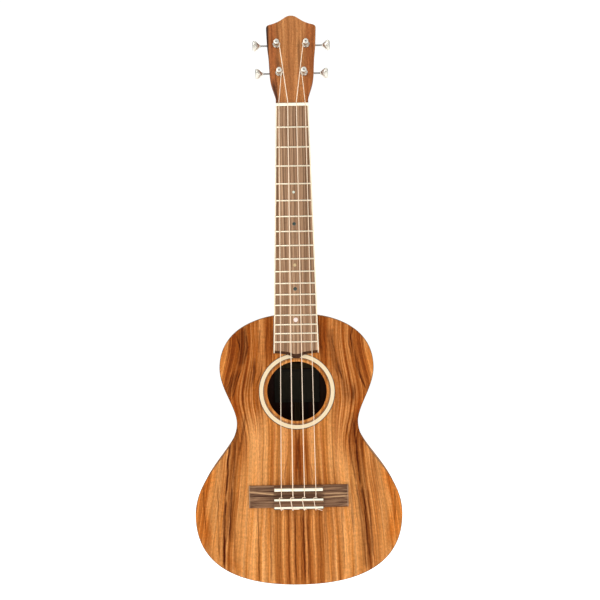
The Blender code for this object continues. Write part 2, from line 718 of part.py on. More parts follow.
def make_strings():
    for name, (_, _, radius, _, _) in STRINGS.items():
        curve = bpy.data.curves.new(f"string_{name}", "CURVE")
        curve.dimensions = "3D"
        curve.bevel_depth = radius
        curve.bevel_resolution = 1
        curve.use_fill_caps = True
        route = string_route(name)
        spline = curve.splines.new("POLY")
        spline.points.add(len(route) - 1)
        for point, place in zip(spline.points, route):
            point.co = (*place, 1.0)
        link(f"string_{name}", curve, material(f"string_{name}", NYLON, 0.35))


# ---------------------------------------------------------------- tuners

def empty(name, matrix):
    made = bpy.data.objects.new(name, None)
    bpy.context.scene.collection.objects.link(made)
    made.matrix_world = matrix
    return made


def rounded_box(low, high, radius, steps=3):
    """A rectangle (a, v) with rounded corners, as points going round."""
    points = []
    corners = (
        (high[0] - radius, high[1] - radius, 0), (low[0] + radius, high[1] - radius, 1),
        (low[0] + radius, low[1] + radius, 2), (high[0] - radius, low[1] + radius, 3),
    )
    for a, v, quarter in corners:
        for i in range(steps + 1):
            angle = math.pi / 2 * (quarter + i / steps)
            points.append((a + radius * math.cos(angle), v + radius * math.sin(angle)))
    return points


def plate_ring(side, inset, w):
    """The housing's outline, moved inwards by inset, at the level w."""
    low = (HOUSING_A[0] + inset, HOUSING_V[0] + inset)
    high = (HOUSING_A[1] - inset, HOUSING_V[1] - inset)
    corner = max(HOUSING_CORNER - inset, 0.0006)
    return [(side * a, v, w) for a, v in rounded_box(low, high, corner)]


def make_housing(name, side, frame):
    """The die-cast case: a pocket for the gears, open behind, and a collar round the shaft."""
    ease = 0.0005
    levels = ((0.0, HOUSING_BACK), (0.0, -GAP - ease), (ease, -GAP))
    rings = [plate_ring(side, inset, w) for inset, w in levels]
    finish = material(f"tuner_housing_{name}", CHROME, 0.18, 1.0)
    case = loft(f"tuner_housing_{name}", rings, finish, frame)
    collar = [(radius, side * reach) for radius, reach in COLLAR_PROFILE]
    axis = (0.0, WORM_OFFSET, GEAR_LEVEL)
    combine(case, turned(f"collar {name}", collar, "x", axis, SHAFT_SIDES, None, frame), "UNION")
    floor = -GAP - HOUSING_WALL
    mouth = HOUSING_BACK - BEYOND
    room = ((WHEEL_ROOM_RADIUS, mouth), (WHEEL_ROOM_RADIUS, floor))
    combine(case, turned(f"wheel room {name}", room, "z", (0, 0, 0), 20, None, frame))
    low, high = WORM_OFFSET - WORM_ROOM_RADIUS, WORM_OFFSET + WORM_ROOM_RADIUS
    half = WORM_ROOM_HALF
    rings = [[(-half, low, w), (half, low, w), (half, high, w), (-half, high, w)] for w in (mouth, floor)]
    combine(case, loft(f"worm room {name}", rings, None, frame))
    below, above = floor - HOUSING_WALL, HOUSING_WALL
    drill(case, POST_RADIUS + RUNNING_CLEARANCE, (0, 0, below), above, "z", SHAFT_SIDES, frame)
    ends = sorted((side * SHAFT_BLIND_END, side * (COLLAR_END + BEYOND)))
    drill(case, SHAFT_RADIUS + RUNNING_CLEARANCE, (ends[0], *axis[1:]), ends[1], "x", BORE_SIDES, frame)


def make_cover(name, side, frame):
    ease = 0.0004
    near = HOUSING_BACK - GAP
    far = near - COVER_THICKNESS
    levels = ((0.0, near), (0.0, far + ease), (ease, far))
    rings = [plate_ring(side, inset, w) for inset, w in levels]
    loft(f"tuner_cover_{name}", rings, material(f"tuner_cover_{name}", CHROME, 0.2, 1.0), frame)


def make_bushing(name, frame):
    """A threaded sleeve through the head with a hexagon and a washer's flange on the face."""
    face = HEAD_THICKNESS + GAP
    bore = POST_RADIUS + RUNNING_CLEARANCE
    bushing_name = f"post_bushing_{name}"
    finish = material(bushing_name, CHROME, 0.2, 1.0)
    sleeve = ring_profile(bore, BUSHING_SLEEVE_RADIUS, BUSHING_SLEEVE_START, face + BUSHING_HEX_HEIGHT / 2)
    bushing = turned(bushing_name, sleeve, "z", (0, 0, 0), SHAFT_SIDES, finish, frame, closed=True)
    flange = ring_profile(bore, BUSHING_HEX_RADIUS, face, face + BUSHING_HEX_HEIGHT)
    hexagon = turned(f"hexagon {name}", flange, "z", (0, 0, 0), HEXAGON_SIDES, None, frame, closed=True)
    for vertex in hexagon.data.vertices:
        hexagonal(vertex, bore)
    combine(bushing, hexagon, "UNION")


def hexagonal(vertex, bore):
    """Moves a point of the outer circle onto the hexagon inside it."""
    x, y = vertex.co.x, vertex.co.y
    if math.hypot(x, y) < (bore + BUSHING_HEX_RADIUS) / 2:
        return
    angle = math.atan2(y, x) % (math.pi / 3) - math.pi / 6
    scale = math.cos(math.pi / 6) / math.cos(angle)
    vertex.co.x = x * scale
    vertex.co.y = y * scale


def make_post(name, pivot):
    """A post with a stub for its wheel, a waist for the string, a cross hole and a dimpled top."""
    face = HEAD_THICKNESS
    ease = 0.0003
    profile = (
        (POST_STUB_RADIUS, -0.0080), (POST_STUB_RADIUS, POST_SHOULDER), (POST_RADIUS, POST_SHOULDER),
        (POST_RADIUS, face + 0.0040), (POST_WAIST_RADIUS, face + 0.0056),
        (POST_WAIST_RADIUS, face + 0.0088), (POST_RADIUS, face + 0.0100),
        (POST_RADIUS, POST_TOP - ease), (POST_RADIUS - ease, POST_TOP),
        (DIMPLE_RADIUS, POST_TOP), (DIMPLE_RADIUS, POST_TOP - DIMPLE_DEPTH),
    )
    finish = material(f"string_post_{name}", CHROME, 0.12, 1.0)
    post = turned(f"string_post_{name}", profile, "z", (0, 0, 0), SHAFT_SIDES, finish, pivot)
    side = 2 * POST_RADIUS
    drill(post, POST_HOLE_RADIUS, (0, -side, POST_HOLE_RISE), side, "y", BORE_SIDES, pivot)


def make_wheel(name, side, pivot):
    """The worm wheel, whose teeth lean with the worm's thread."""
    lean = side * WORM_LEAD / (2 * math.pi * WORM_PITCH_RADIUS) / WHEEL_PITCH_RADIUS
    tooth = (
        (WHEEL_ROOT_RADIUS, -TOOTH_FOOT_HALF), (WHEEL_TIP_RADIUS, -TOOTH_TIP_HALF),
        (WHEEL_TIP_RADIUS, TOOTH_TIP_HALF), (WHEEL_ROOT_RADIUS, TOOTH_FOOT_HALF),
    )
    rings = []
    for w in (-WHEEL_THICKNESS / 2, WHEEL_THICKNESS / 2):
        ring = []
        for k in range(WHEEL_TEETH):
            for radius, across in tooth:
                angle = math.pi / 2 + 2 * math.pi * k / WHEEL_TEETH + across / radius + lean * w
                ring.append((radius * math.cos(angle), radius * math.sin(angle), GEAR_LEVEL + w))
        rings.append(ring)
    finish = material(f"worm_wheel_{name}", GEAR_STEEL, 0.35, 1.0)
    wheel = loft(f"worm_wheel_{name}", rings, finish, pivot)
    below, above = GEAR_LEVEL - WHEEL_THICKNESS, GEAR_LEVEL + WHEEL_THICKNESS
    drill(wheel, POST_STUB_RADIUS + GAP, (0, 0, below), above, "z", BORE_SIDES, pivot)


def thread_radius(turns):
    """The worm's radius where the thread's crest is this many turns away."""
    away = abs(turns - round(turns)) * WORM_LEAD
    fall = (away - THREAD_CREST_HALF) / (THREAD_FOOT_HALF - THREAD_CREST_HALF)
    fall = min(max(fall, 0.0), 1.0)
    return WORM_TIP_RADIUS + (WORM_ROOT_RADIUS - WORM_TIP_RADIUS) * fall


def make_worm_shaft(name, side, pivot):
    """The knob's shaft with its single-start worm; a left tuner is the mirror of a right one."""
    before = (
        (SHAFT_RADIUS, SHAFT_START), (SHAFT_RADIUS, -WORM_END), (WORM_ROOT_RADIUS, -WORM_END)
    )
    after = (
        (WORM_ROOT_RADIUS, WORM_END), (SHAFT_RADIUS, WORM_END), (SHAFT_RADIUS, BUTTON_START + SHAFT_IN_BUTTON)
    )
    rings = [circle(radius, THREAD_SIDES, "x", (side * reach, 0, 0)) for radius, reach in before]
    half_rings = THREAD_SIDES * WORM_TURNS // 4
    for k in range(-half_rings, half_rings + 1):
        turns = 2 * k / THREAD_SIDES
        ring = []
        for i in range(THREAD_SIDES):
            radius = thread_radius(turns - i / THREAD_SIDES)
            angle = 2 * math.pi * i / THREAD_SIDES
            ring.append((side * turns * WORM_LEAD, radius * math.cos(angle), radius * math.sin(angle)))
        rings.append(ring)
    rings += [circle(radius, THREAD_SIDES, "x", (side * reach, 0, 0)) for radius, reach in after]
    loft(f"worm_shaft_{name}", rings, material(f"worm_shaft_{name}", GEAR_STEEL, 0.3, 1.0), pivot)


def make_button(name, side, pivot):
    """The metal knob: a neck that flares into a flattened, rounded paddle, bored for the shaft."""
    turn = math.radians(BUTTON_TURN[name])
    count = 18
    squareness = 0.8
    rings = []
    for reach, half, thin in BUTTON_SECTIONS:
        ring = []
        for i in range(count):
            angle = 2 * math.pi * i / count
            across = half * math.copysign(abs(math.cos(angle)) ** squareness, math.cos(angle))
            deep = thin * math.copysign(abs(math.sin(angle)) ** squareness, math.sin(angle))
            y = across * math.cos(turn) - deep * math.sin(turn)
            z = across * math.sin(turn) + deep * math.cos(turn)
            ring.append((side * (BUTTON_START + reach), y, z))
        rings.append(ring)
    finish = material(f"tuner_button_{name}", CHROME, 0.12, 1.0)
    button = loft(f"tuner_button_{name}", rings, finish, pivot, smooth=True)
    ends = sorted((side * (BUTTON_START - SHAFT_RADIUS), side * (BUTTON_START + SHAFT_IN_BUTTON + GAP)))
    drill(button, SHAFT_RADIUS + GAP, (ends[0], 0, 0), ends[1], "x", BORE_SIDES, pivot)


def make_tuner(name):
    side, row = STRINGS[name][3:]
    x, v = TUNER_ROWS[row]
    place = Matrix.Translation(head_point(side * x, v, -HEAD_THICKNESS))
    turn = Matrix.Rotation(math.pi / 2 - HEAD_TILT, 4, "X")
    frame = empty(f"tuner {name}", place @ turn)
    post_pivot = empty(f"post axis {name}", place @ turn)
    knob_pivot = empty(f"knob axis {name}", place @ turn @ Matrix.Translation((0, WORM_OFFSET, GEAR_LEVEL)))
    make_housing(name, side, frame)
    make_cover(name, side, frame)
    make_bushing(name, frame)
    make_post(name, post_pivot)
    make_wheel(name, side, post_pivot)
    make_worm_shaft(name, side, knob_pivot)
    make_button(name, side, knob_pivot)


def main():
    for old in list(bpy.data.objects):
        bpy.data.objects.remove(old, do_unlink=True)
    make_soundboard()
    make_shell()
    make_linings()
    make_blocks()
    make_braces()
    make_neck()
    make_fingerboard()
    make_nut()
    make_bridge()
    make_strings()
    for name in STRINGS:
        make_tuner(name)


main()
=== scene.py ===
"""Looks of a tenor ukulele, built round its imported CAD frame: woods, inlays, strings and chrome tuners."""

import math

import bmesh
import bpy
from mathutils import Matrix, Vector


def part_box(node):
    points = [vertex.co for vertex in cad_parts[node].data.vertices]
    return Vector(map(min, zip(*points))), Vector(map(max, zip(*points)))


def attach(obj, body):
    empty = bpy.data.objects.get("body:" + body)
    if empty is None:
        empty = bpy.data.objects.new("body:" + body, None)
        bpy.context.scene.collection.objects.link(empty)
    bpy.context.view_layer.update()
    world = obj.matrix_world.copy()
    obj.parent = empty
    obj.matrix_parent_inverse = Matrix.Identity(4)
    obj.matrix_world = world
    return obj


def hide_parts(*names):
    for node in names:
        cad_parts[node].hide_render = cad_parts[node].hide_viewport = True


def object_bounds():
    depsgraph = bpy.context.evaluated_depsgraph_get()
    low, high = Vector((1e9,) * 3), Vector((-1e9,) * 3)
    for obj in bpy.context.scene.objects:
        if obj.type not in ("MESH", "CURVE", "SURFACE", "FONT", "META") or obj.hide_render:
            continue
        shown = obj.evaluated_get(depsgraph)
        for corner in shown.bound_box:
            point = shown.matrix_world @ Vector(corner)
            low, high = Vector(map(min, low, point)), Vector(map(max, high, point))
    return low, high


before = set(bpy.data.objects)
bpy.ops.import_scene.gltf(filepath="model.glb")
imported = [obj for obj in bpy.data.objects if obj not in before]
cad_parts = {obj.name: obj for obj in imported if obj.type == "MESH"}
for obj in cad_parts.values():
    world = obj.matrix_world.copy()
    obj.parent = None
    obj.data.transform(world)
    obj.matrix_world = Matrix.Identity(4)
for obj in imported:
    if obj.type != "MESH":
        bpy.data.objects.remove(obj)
cad_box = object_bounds()

STRING_NAMES = ("g", "c", "e", "a")
INSTRUMENT = "instrument"


# ---------------------------------------------------------------- driving sizes, from the frame

class Box:
    """A CAD node's box, with the corners' names that this script uses."""

    def __init__(self, node):
        low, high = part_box(node)
        self.left, self.front, self.bottom = low
        self.right, self.back, self.top = high
        self.middle = (low + high) / 2


BOARD = Box("soundboard")
FINGERBOARD = Box("fingerboard")
NUT = Box("nut")
BRIDGE = Box("bridge")
SADDLE = Box("saddle")
ROSETTE = Box("rosette_ring")
BACK = Box("back_plate")

SCALE_LENGTH = 0.432
FRET_COUNT = 17
BODY_STEPS = 36  # points along each of the outline's four curves, on each side
PLATE_THICKNESS = BOARD.back - BOARD.front
RIB_THICKNESS = 0.0020
DEPTH_AT_NECK = 0.0620
DEPTH_AT_TAIL = BACK.back
SOUND_HOLE = Vector((0.0, 0.0, ROSETTE.middle.z))
SOUND_HOLE_RADIUS = 0.0342

HEAD_TILT = math.radians(12)
HEAD_FOOT = Vector((0.0, -0.0018, 0.0039))
HEAD_THICKNESS = 0.0148
VENEER_THICKNESS = 0.0018
HEAD_TIP = 0.1067
# (half width, distance along the head). Five of these points and the tip are a script's measures of the
# photo's outline, to 0.1 mm, and the rest were set by hand round them.
HEAD_OUTLINE = (
    (0.0178, 0.0000), (0.0181, 0.0050), (0.0191, 0.0098), (0.0214, 0.0171), (0.0236, 0.0243),
    (0.0249, 0.0310), (0.0256, 0.0388), (0.0261, 0.0499), (0.0267, 0.0590), (0.0279, 0.0700),
    (0.0285, 0.0820), (0.0288, 0.0905), (0.0286, 0.0926), (0.0280, 0.0940), (0.0268, 0.0950),
    (0.0250, 0.0957), (0.0220, 0.0965), (0.0197, 0.0973), (0.0170, 0.0984), (0.0146, 0.0995),
    (0.0122, 0.1009), (0.0095, 0.1027), (0.0073, 0.1043), (0.0050, 0.1056), (0.0025, 0.1065),
)

STRING_RADIUS = {"g": 0.00038, "c": 0.00051, "e": 0.00043, "a": 0.00036}
STRING_RISE_AT_NUT = 0.0069
STRING_RISE_AT_SADDLE = 0.0120
TIE_HOLE_RISE = 0.0060
TIE_BLOCK_RISE = 0.0086
POST_RADIUS = 0.0029
POST_WAIST_RADIUS = 0.0024
POST_TOP_RADIUS = 0.0032
CROSS_HOLE_RISE = 0.0072  # of the hole through a post, above the head's face
WINDING_RISE = CROSS_HOLE_RISE + 0.0010  # of the string where it meets its post


# ---------------------------------------------------------------- materials

def tint(red, green, blue):
    """A colour given as it looks on a screen, 0 to 255, in the linear numbers that shaders use."""
    linear = []
    for value in (red, green, blue):
        share = value / 255
        linear.append(share / 12.92 if share <= 0.04045 else ((share + 0.055) / 1.055) ** 2.4)
    return (*linear, 1.0)


class Nodes:
    """A node tree. Each method adds nodes and returns the socket with their result."""

    def __init__(self, tree):
        self.tree = tree

    def add(self, kind, **settings):
        node = self.tree.nodes.new(kind)
        for key, value in settings.items():
            setattr(node, key, value)
        return node

    def feed(self, socket, value):
        if isinstance(value, bpy.types.NodeSocket):
            self.tree.links.new(value, socket)
        elif socket.type == "VECTOR":
            socket.default_value = value[:3]
        else:
            socket.default_value = value

    def math(self, operation, a, b=0.0, clamp=False):
        node = self.add("ShaderNodeMath", operation=operation, use_clamp=clamp)
        self.feed(node.inputs[0], a)
        self.feed(node.inputs[1], b)
        return node.outputs[0]

    def times(self, a, b):
        return self.math("MULTIPLY", a, b)

    def plus(self, a, b):
        return self.math("ADD", a, b)

    def minus(self, a, b):
        return self.math("SUBTRACT", a, b)

    def fit(self, value, low, high, to_low=0.0, to_high=1.0, smooth=True):
        """The value's place between low and high, between to_low and to_high."""
        kind = "SMOOTHSTEP" if smooth else "LINEAR"
        node = self.add("ShaderNodeMapRange", interpolation_type=kind, clamp=True)
        for socket, given in zip(node.inputs, (value, low, high, to_low, to_high)):
            self.feed(socket, given)
        return node.outputs[0]

    def join(self, x, y, z):
        node = self.add("ShaderNodeCombineXYZ")
        for socket, value in zip(node.inputs, (x, y, z)):
            self.feed(socket, value)
        return node.outputs[0]

    def millimetres(self, attribute=None):
        """The surface's x, y and z, or its three grain numbers, in millimetres."""
        if attribute:
            source = self.add("ShaderNodeAttribute", attribute_name=attribute).outputs["Vector"]
        else:
            source = self.add("ShaderNodeTexCoord").outputs["Object"]
        scaled = self.add("ShaderNodeVectorMath", operation="SCALE")
        self.feed(scaled.inputs[0], source)
        scaled.inputs["Scale"].default_value = 1000.0
        split = self.add("ShaderNodeSeparateXYZ")
        self.feed(split.inputs[0], scaled.outputs[0])
        return split.outputs[0], split.outputs[1], split.outputs[2]

    def stretched(self, across, along, wide, long, depth=0.0):
        """A place in which one unit is wide across the grain and long along it, in millimetres."""
        return self.join(self.times(across, 1 / wide), depth, self.times(along, 1 / long))

    def noise(self, place, detail=2.0, roughness=0.5, distortion=0.0):
        node = self.add("ShaderNodeTexNoise")
        self.feed(node.inputs["Vector"], place)
        node.inputs["Scale"].default_value = 1.0
        node.inputs["Detail"].default_value = detail
        node.inputs["Roughness"].default_value = roughness
        node.inputs["Distortion"].default_value = distortion
        return node.outputs[0]

    def cloud(self, place, scales, *how):
        """Noise at a place (x, y, z) whose three numbers are multiplied by the scales."""
        return self.noise(self.join(*(self.times(a, b) for a, b in zip(place, scales))), *how)

    def swayed(self, across, along, wide, long, reach, depth=0.0):
        """The place across the grain, moved from side to side by up to half of reach, in millimetres."""
        drift = self.noise(self.stretched(across, along, wide, long, depth), 2.0)
        return self.plus(across, self.times(self.minus(drift, 0.5), reach))

    def mix(self, share, a, b, blend="MIX"):
        node = self.add("ShaderNodeMix", data_type="RGBA", blend_type=blend)
        self.feed(node.inputs[0], share)
        self.feed(node.inputs[6], a)
        self.feed(node.inputs[7], b)
        return node.outputs[2]

    def ramp(self, value, *stops):
        node = self.add("ShaderNodeValToRGB")
        elements = node.color_ramp.elements
        while len(elements) < len(stops):
            elements.new(0.5)
        for element, (place, colour) in zip(elements, stops):
            element.position = place
            element.color = colour
        self.feed(node.inputs[0], value)
        return node.outputs[0]

    def shade(self, colour, value, low, high):
        """The colour made darker or lighter as the value goes from 0.3 to 0.7, by low to high times."""
        strength = self.fit(value, 0.3, 0.7, low, high, smooth=False)
        node = self.add("ShaderNodeVectorMath", operation="SCALE")
        self.feed(node.inputs[0], colour)
        self.feed(node.inputs["Scale"], strength)
        return node.outputs[0]

    def deepen(self, colour, power, gain):
        """The colour raised to a power, which darkens and warms its shadows, and then brightened."""
        node = self.add("ShaderNodeGamma")
        self.feed(node.inputs[0], colour)
        node.inputs[1].default_value = power
        return self.shade(node.outputs[0], 0.5, gain, gain)


class Recipe(Nodes):
    """The nodes of one material, round its Principled shader."""

    def __init__(self, name):
        self.material = bpy.data.materials.new(name)
        self.material.use_nodes = True
        super().__init__(self.material.node_tree)
        self.shader = self.tree.nodes["Principled BSDF"]

    def set(self, **values):
        """Sets the shader's own inputs; an underscore in a name stands for a space."""
        for key, value in values.items():
            self.feed(self.shader.inputs[key.replace("_", " ")], value)

    def bump(self, height, distance, strength=1.0):
        node = self.add("ShaderNodeBump")
        node.inputs["Strength"].default_value = strength
        node.inputs["Distance"].default_value = distance
        self.feed(node.inputs["Height"], height)
        self.feed(self.shader.inputs["Normal"], node.outputs[0])


def grain(recipe, across, along, colour, lines=0.12, pores=0.35, pore_length=5.0, depth=0.0):
    """Adds fine grain lines and open pores to a wood's colour, and makes the matching bump."""
    fine = recipe.noise(recipe.stretched(across, along, 1.1, 70.0, depth), 3.0, 0.6)
    colour = recipe.shade(colour, fine, 1 - lines, 1 + lines)
    hair = recipe.noise(recipe.stretched(across, along, 0.35, 22.0, depth), 2.0, 0.6)
    colour = recipe.shade(colour, hair, 1 - 0.7 * lines, 1 + 0.5 * lines)
    flecks = recipe.noise(recipe.stretched(across, along, 0.30, pore_length, depth), 2.0, 0.55)
    pore = recipe.fit(flecks, 0.60, 0.72)
    colour = recipe.mix(recipe.times(pore, pores), colour, tint(70, 36, 16))
    height = recipe.plus(recipe.times(fine, 0.35), recipe.times(pore, -1.0))
    recipe.bump(height, 0.00012, 0.35)
    return colour


# Dark figure of the soundboard, in millimetres: three points (x, z) down each stroke, half width, strength.
# Cycles can't hold more than about 62 of these strokes in one material.
FIGURE = (
    ((-61, -246), (-61, -278), (-67, -304), 4.6, 0.72),
    ((-66, -296), (-73, -314), (-82, -338), 4.0, 0.60),
    ((-70, -258), (-65, -272), (-64, -290), 1.1, 0.95),
    ((-67, -256), (-62, -272), (-62, -286), 0.8, 0.80),
    ((-58, -254), (-56, -276), (-62, -302), 1.3, 0.95),
    ((-62, -296), (-68, -314), (-76, -338), 0.9, 0.90),
    ((-66, -296), (-73, -314), (-80, -332), 0.8, 0.90),
    ((-71, -298), (-77, -315), (-84, -330), 0.8, 0.80),
    ((-48, -286), (-48, -304), (-52, -324), 1.9, 0.75),
    ((-52, -288), (-52, -306), (-56, -324), 0.7, 0.60),
    ((-39, -292), (-41, -306), (-48, -326), 0.9, 0.60),
    ((-27, -250), (-27, -270), (-28, -288), 1.3, 0.60),
    ((-33, -246), (-34, -264), (-37, -288), 1.0, 0.50),
    ((-41, -250), (-42, -268), (-44, -286), 0.9, 0.45),
    ((-63, -320), (-62, -333), (-61, -347), 1.6, 0.60),
    ((-55, -298), (-58, -318), (-61, -333), 6.0, 0.28),
    ((-59, -347), (-62, -370), (-69, -404), 1.6, 0.60),
    ((-74, -362), (-80, -405), (-84, -453), 1.4, 0.90),
    ((-84, -444), (-86, -484), (-87, -534), 1.7, 0.95),
    ((-69, -360), (-72, -394), (-75, -438), 1.4, 0.75),
    ((-75, -428), (-78, -462), (-81, -502), 1.4, 0.80),
    ((-70, -360), (-76, -430), (-80, -505), 5.0, 0.38),
    ((-109, -425), (-109, -455), (-107, -492), 0.8, 0.50),
    ((-93, -430), (-93, -470), (-92, -520), 1.0, 0.45),
    ((-74, -455), (-74, -485), (-74, -535), 0.8, 0.40),
    ((-47, -440), (-47, -480), (-47, -545), 0.8, 0.55),
    ((-33, -455), (-33, -490), (-33, -548), 0.8, 0.45),
    ((66, -246), (63, -264), (66, -286), 1.2, 0.85),
    ((66, -276), (69, -300), (81, -331), 1.2, 0.85),
    ((69, -284), (72, -304), (79, -322), 0.7, 0.70),
    ((60, -256), (61, -274), (65, -292), 0.8, 0.70),
    ((38, -250), (41, -282), (53, -318), 4.2, 0.46),
    ((36, -256), (38, -272), (43, -292), 0.8, 0.60),
    ((40, -256), (42, -274), (47, -294), 0.9, 0.70),
    ((46, -286), (49, -304), (55, -322), 1.1, 0.80),
    ((43, -290), (46, -306), (51, -322), 0.8, 0.60),
    ((27, -242), (27, -266), (29, -288), 1.8, 0.65),
    ((32, -252), (33, -268), (36, -286), 0.8, 0.50),
    ((64, -314), (65, -326), (64, -346), 2.6, 0.70),
    ((60, -318), (60, -330), (60, -347), 0.9, 0.60),
    ((54, -306), (56, -325), (58, -346), 4.4, 0.40),
    ((64, -356), (68, -400), (72, -442), 1.5, 0.95),
    ((72, -430), (76, -462), (80, -526), 1.7, 0.95),
    ((56, -358), (60, -396), (67, -438), 1.2, 0.55),
    ((66, -430), (71, -470), (77, -538), 1.3, 0.60),
    ((68, -346), (73, -392), (77, -434), 1.0, 0.60),
    ((78, -432), (82, -470), (84, -522), 1.0, 0.70),
    ((64, -350), (72, -430), (79, -536), 6.0, 0.45),
    ((60, -424), (61, -450), (62, -490), 1.6, 0.40),
    ((110, -436), (111, -458), (109, -482), 0.8, 0.45),
    ((50, -455), (50, -495), (51, -542), 1.4, 0.35),
    ((-4, -462), (-5, -500), (-4, -549), 1.0, 0.70),
    ((1, -372), (0, -410), (1, -438), 1.2, 0.60),
    ((2, -462), (3, -500), (2, -549), 0.7, 0.60),
    ((5, -462), (5, -500), (6, -549), 1.0, 0.85),
    ((9, -466), (10, -510), (10, -548), 0.9, 0.55),
    ((-12, -400), (-15, -418), (-17, -434), 0.7, 0.50),
    ((12, -404), (16, -420), (17, -434), 0.7, 0.55),
    ((-12, -458), (-12, -500), (-13, -548), 0.8, 0.35),
    ((-22, -455), (-22, -495), (-22, -548), 0.8, 0.35),
)
# Warm orange zones, given the same way
GLOW = (
    ((-80, -262), (-86, -288), (-87, -322), 8.0, 0.70),
    ((80, -266), (85, -288), (86, -320), 8.0, 0.80),
    ((-78, -326), (-70, -352), (-71, -378), 6.0, 0.70),
    ((78, -326), (70, -352), (71, -378), 6.0, 0.75),
    ((-98, -405), (-115, -455), (-106, -512), 9.0, 0.85),
    ((98, -405), (115, -455), (106, -512), 9.0, 0.85),
    ((-96, -505), (-70, -530), (-40, -545), 6.0, 0.35),
    ((-44, -262), (-46, -276), (-48, -292), 6.0, 0.40),
)
# Broad darker zones, given the same way
DUSK = (
    ((-62, -200), (-58, -290), (-64, -385), 24.0, 1.10),
    ((-30, -200), (-32, -265), (-36, -325), 12.0, 0.90),
    ((62, -200), (58, -290), (66, -420), 24.0, 0.90),
    ((32, -200), (36, -270), (46, -335), 15.0, 1.00),
    ((-58, -325), (-62, -365), (-76, -440), 9.0, 0.60),
    ((58, -325), (64, -365), (78, -440), 9.0, 0.65),
    ((-76, -370), (-80, -440), (-82, -565), 9.0, 0.50),
    ((78, -370), (84, -440), (84, -565), 9.0, 0.55),
    ((3, -350), (3, -400), (4, -460), 11.0, 0.85),
    ((8, -400), (6, -480), (4, -620), 34.0, 0.55),
    ((4, -440), (4, -500), (3, -580), 9.0, 0.80),
    ((40, -390), (42, -460), (40, -575), 8.0, 0.40),
    ((-108, -400), (-112, -460), (-104, -560), 8.0, 0.35),
)


def stroke_group():
    """A node group: how far the place (x, z) lies in a stroke through three points."""
    tree = bpy.data.node_groups.new("stroke", "ShaderNodeTree")
    for name in ("X", "Z", "X0", "Z0", "X1", "Z1", "X2", "Z2", "Half", "Strength", "Fade"):
        tree.interface.new_socket(name, in_out="INPUT", socket_type="NodeSocketFloat")
    tree.interface.new_socket("Share", in_out="OUTPUT", socket_type="NodeSocketFloat")
    g = Nodes(tree)
    given = g.add("NodeGroupInput").outputs
    middle = given["X0"]
    for start, end in (("0", "1"), ("1", "2")):
        down = g.minus(given["Z"], given["Z" + start])
        length = g.minus(given["Z" + end], given["Z" + start])
        share = g.math("DIVIDE", down, length, clamp=True)
        step = g.minus(given["X" + end], given["X" + start])
        middle = g.plus(middle, g.times(share, step))
    away = g.math("ABSOLUTE", g.minus(given["X"], middle))
    inside = g.fit(g.math("DIVIDE", away, given["Half"]), 1.4, 0.4)
    top = g.fit(g.minus(given["Z0"], given["Z"]), -2.0, given["Fade"])
    bottom = g.fit(g.minus(given["Z"], given["Z2"]), -2.0, given["Fade"])
    inside = g.times(inside, g.times(top, bottom))
    g.feed(g.add("NodeGroupOutput").inputs[0], g.times(inside, given["Strength"]))
    return tree


def strokes(recipe, group, x, z, table, fade=14.0):
    """The strongest share of all the strokes in a table, each fading in and out over a length."""
    total = 0.0
    for first, second, third, half, strength in table:
        node = recipe.add("ShaderNodeGroup", node_tree=group)
        values = (x, z, *first, *second, *third, half, strength, fade)
        for socket, value in zip(node.inputs, values):
            recipe.feed(socket, value)
        total = recipe.math("MAXIMUM", total, node.outputs[0])
    return total


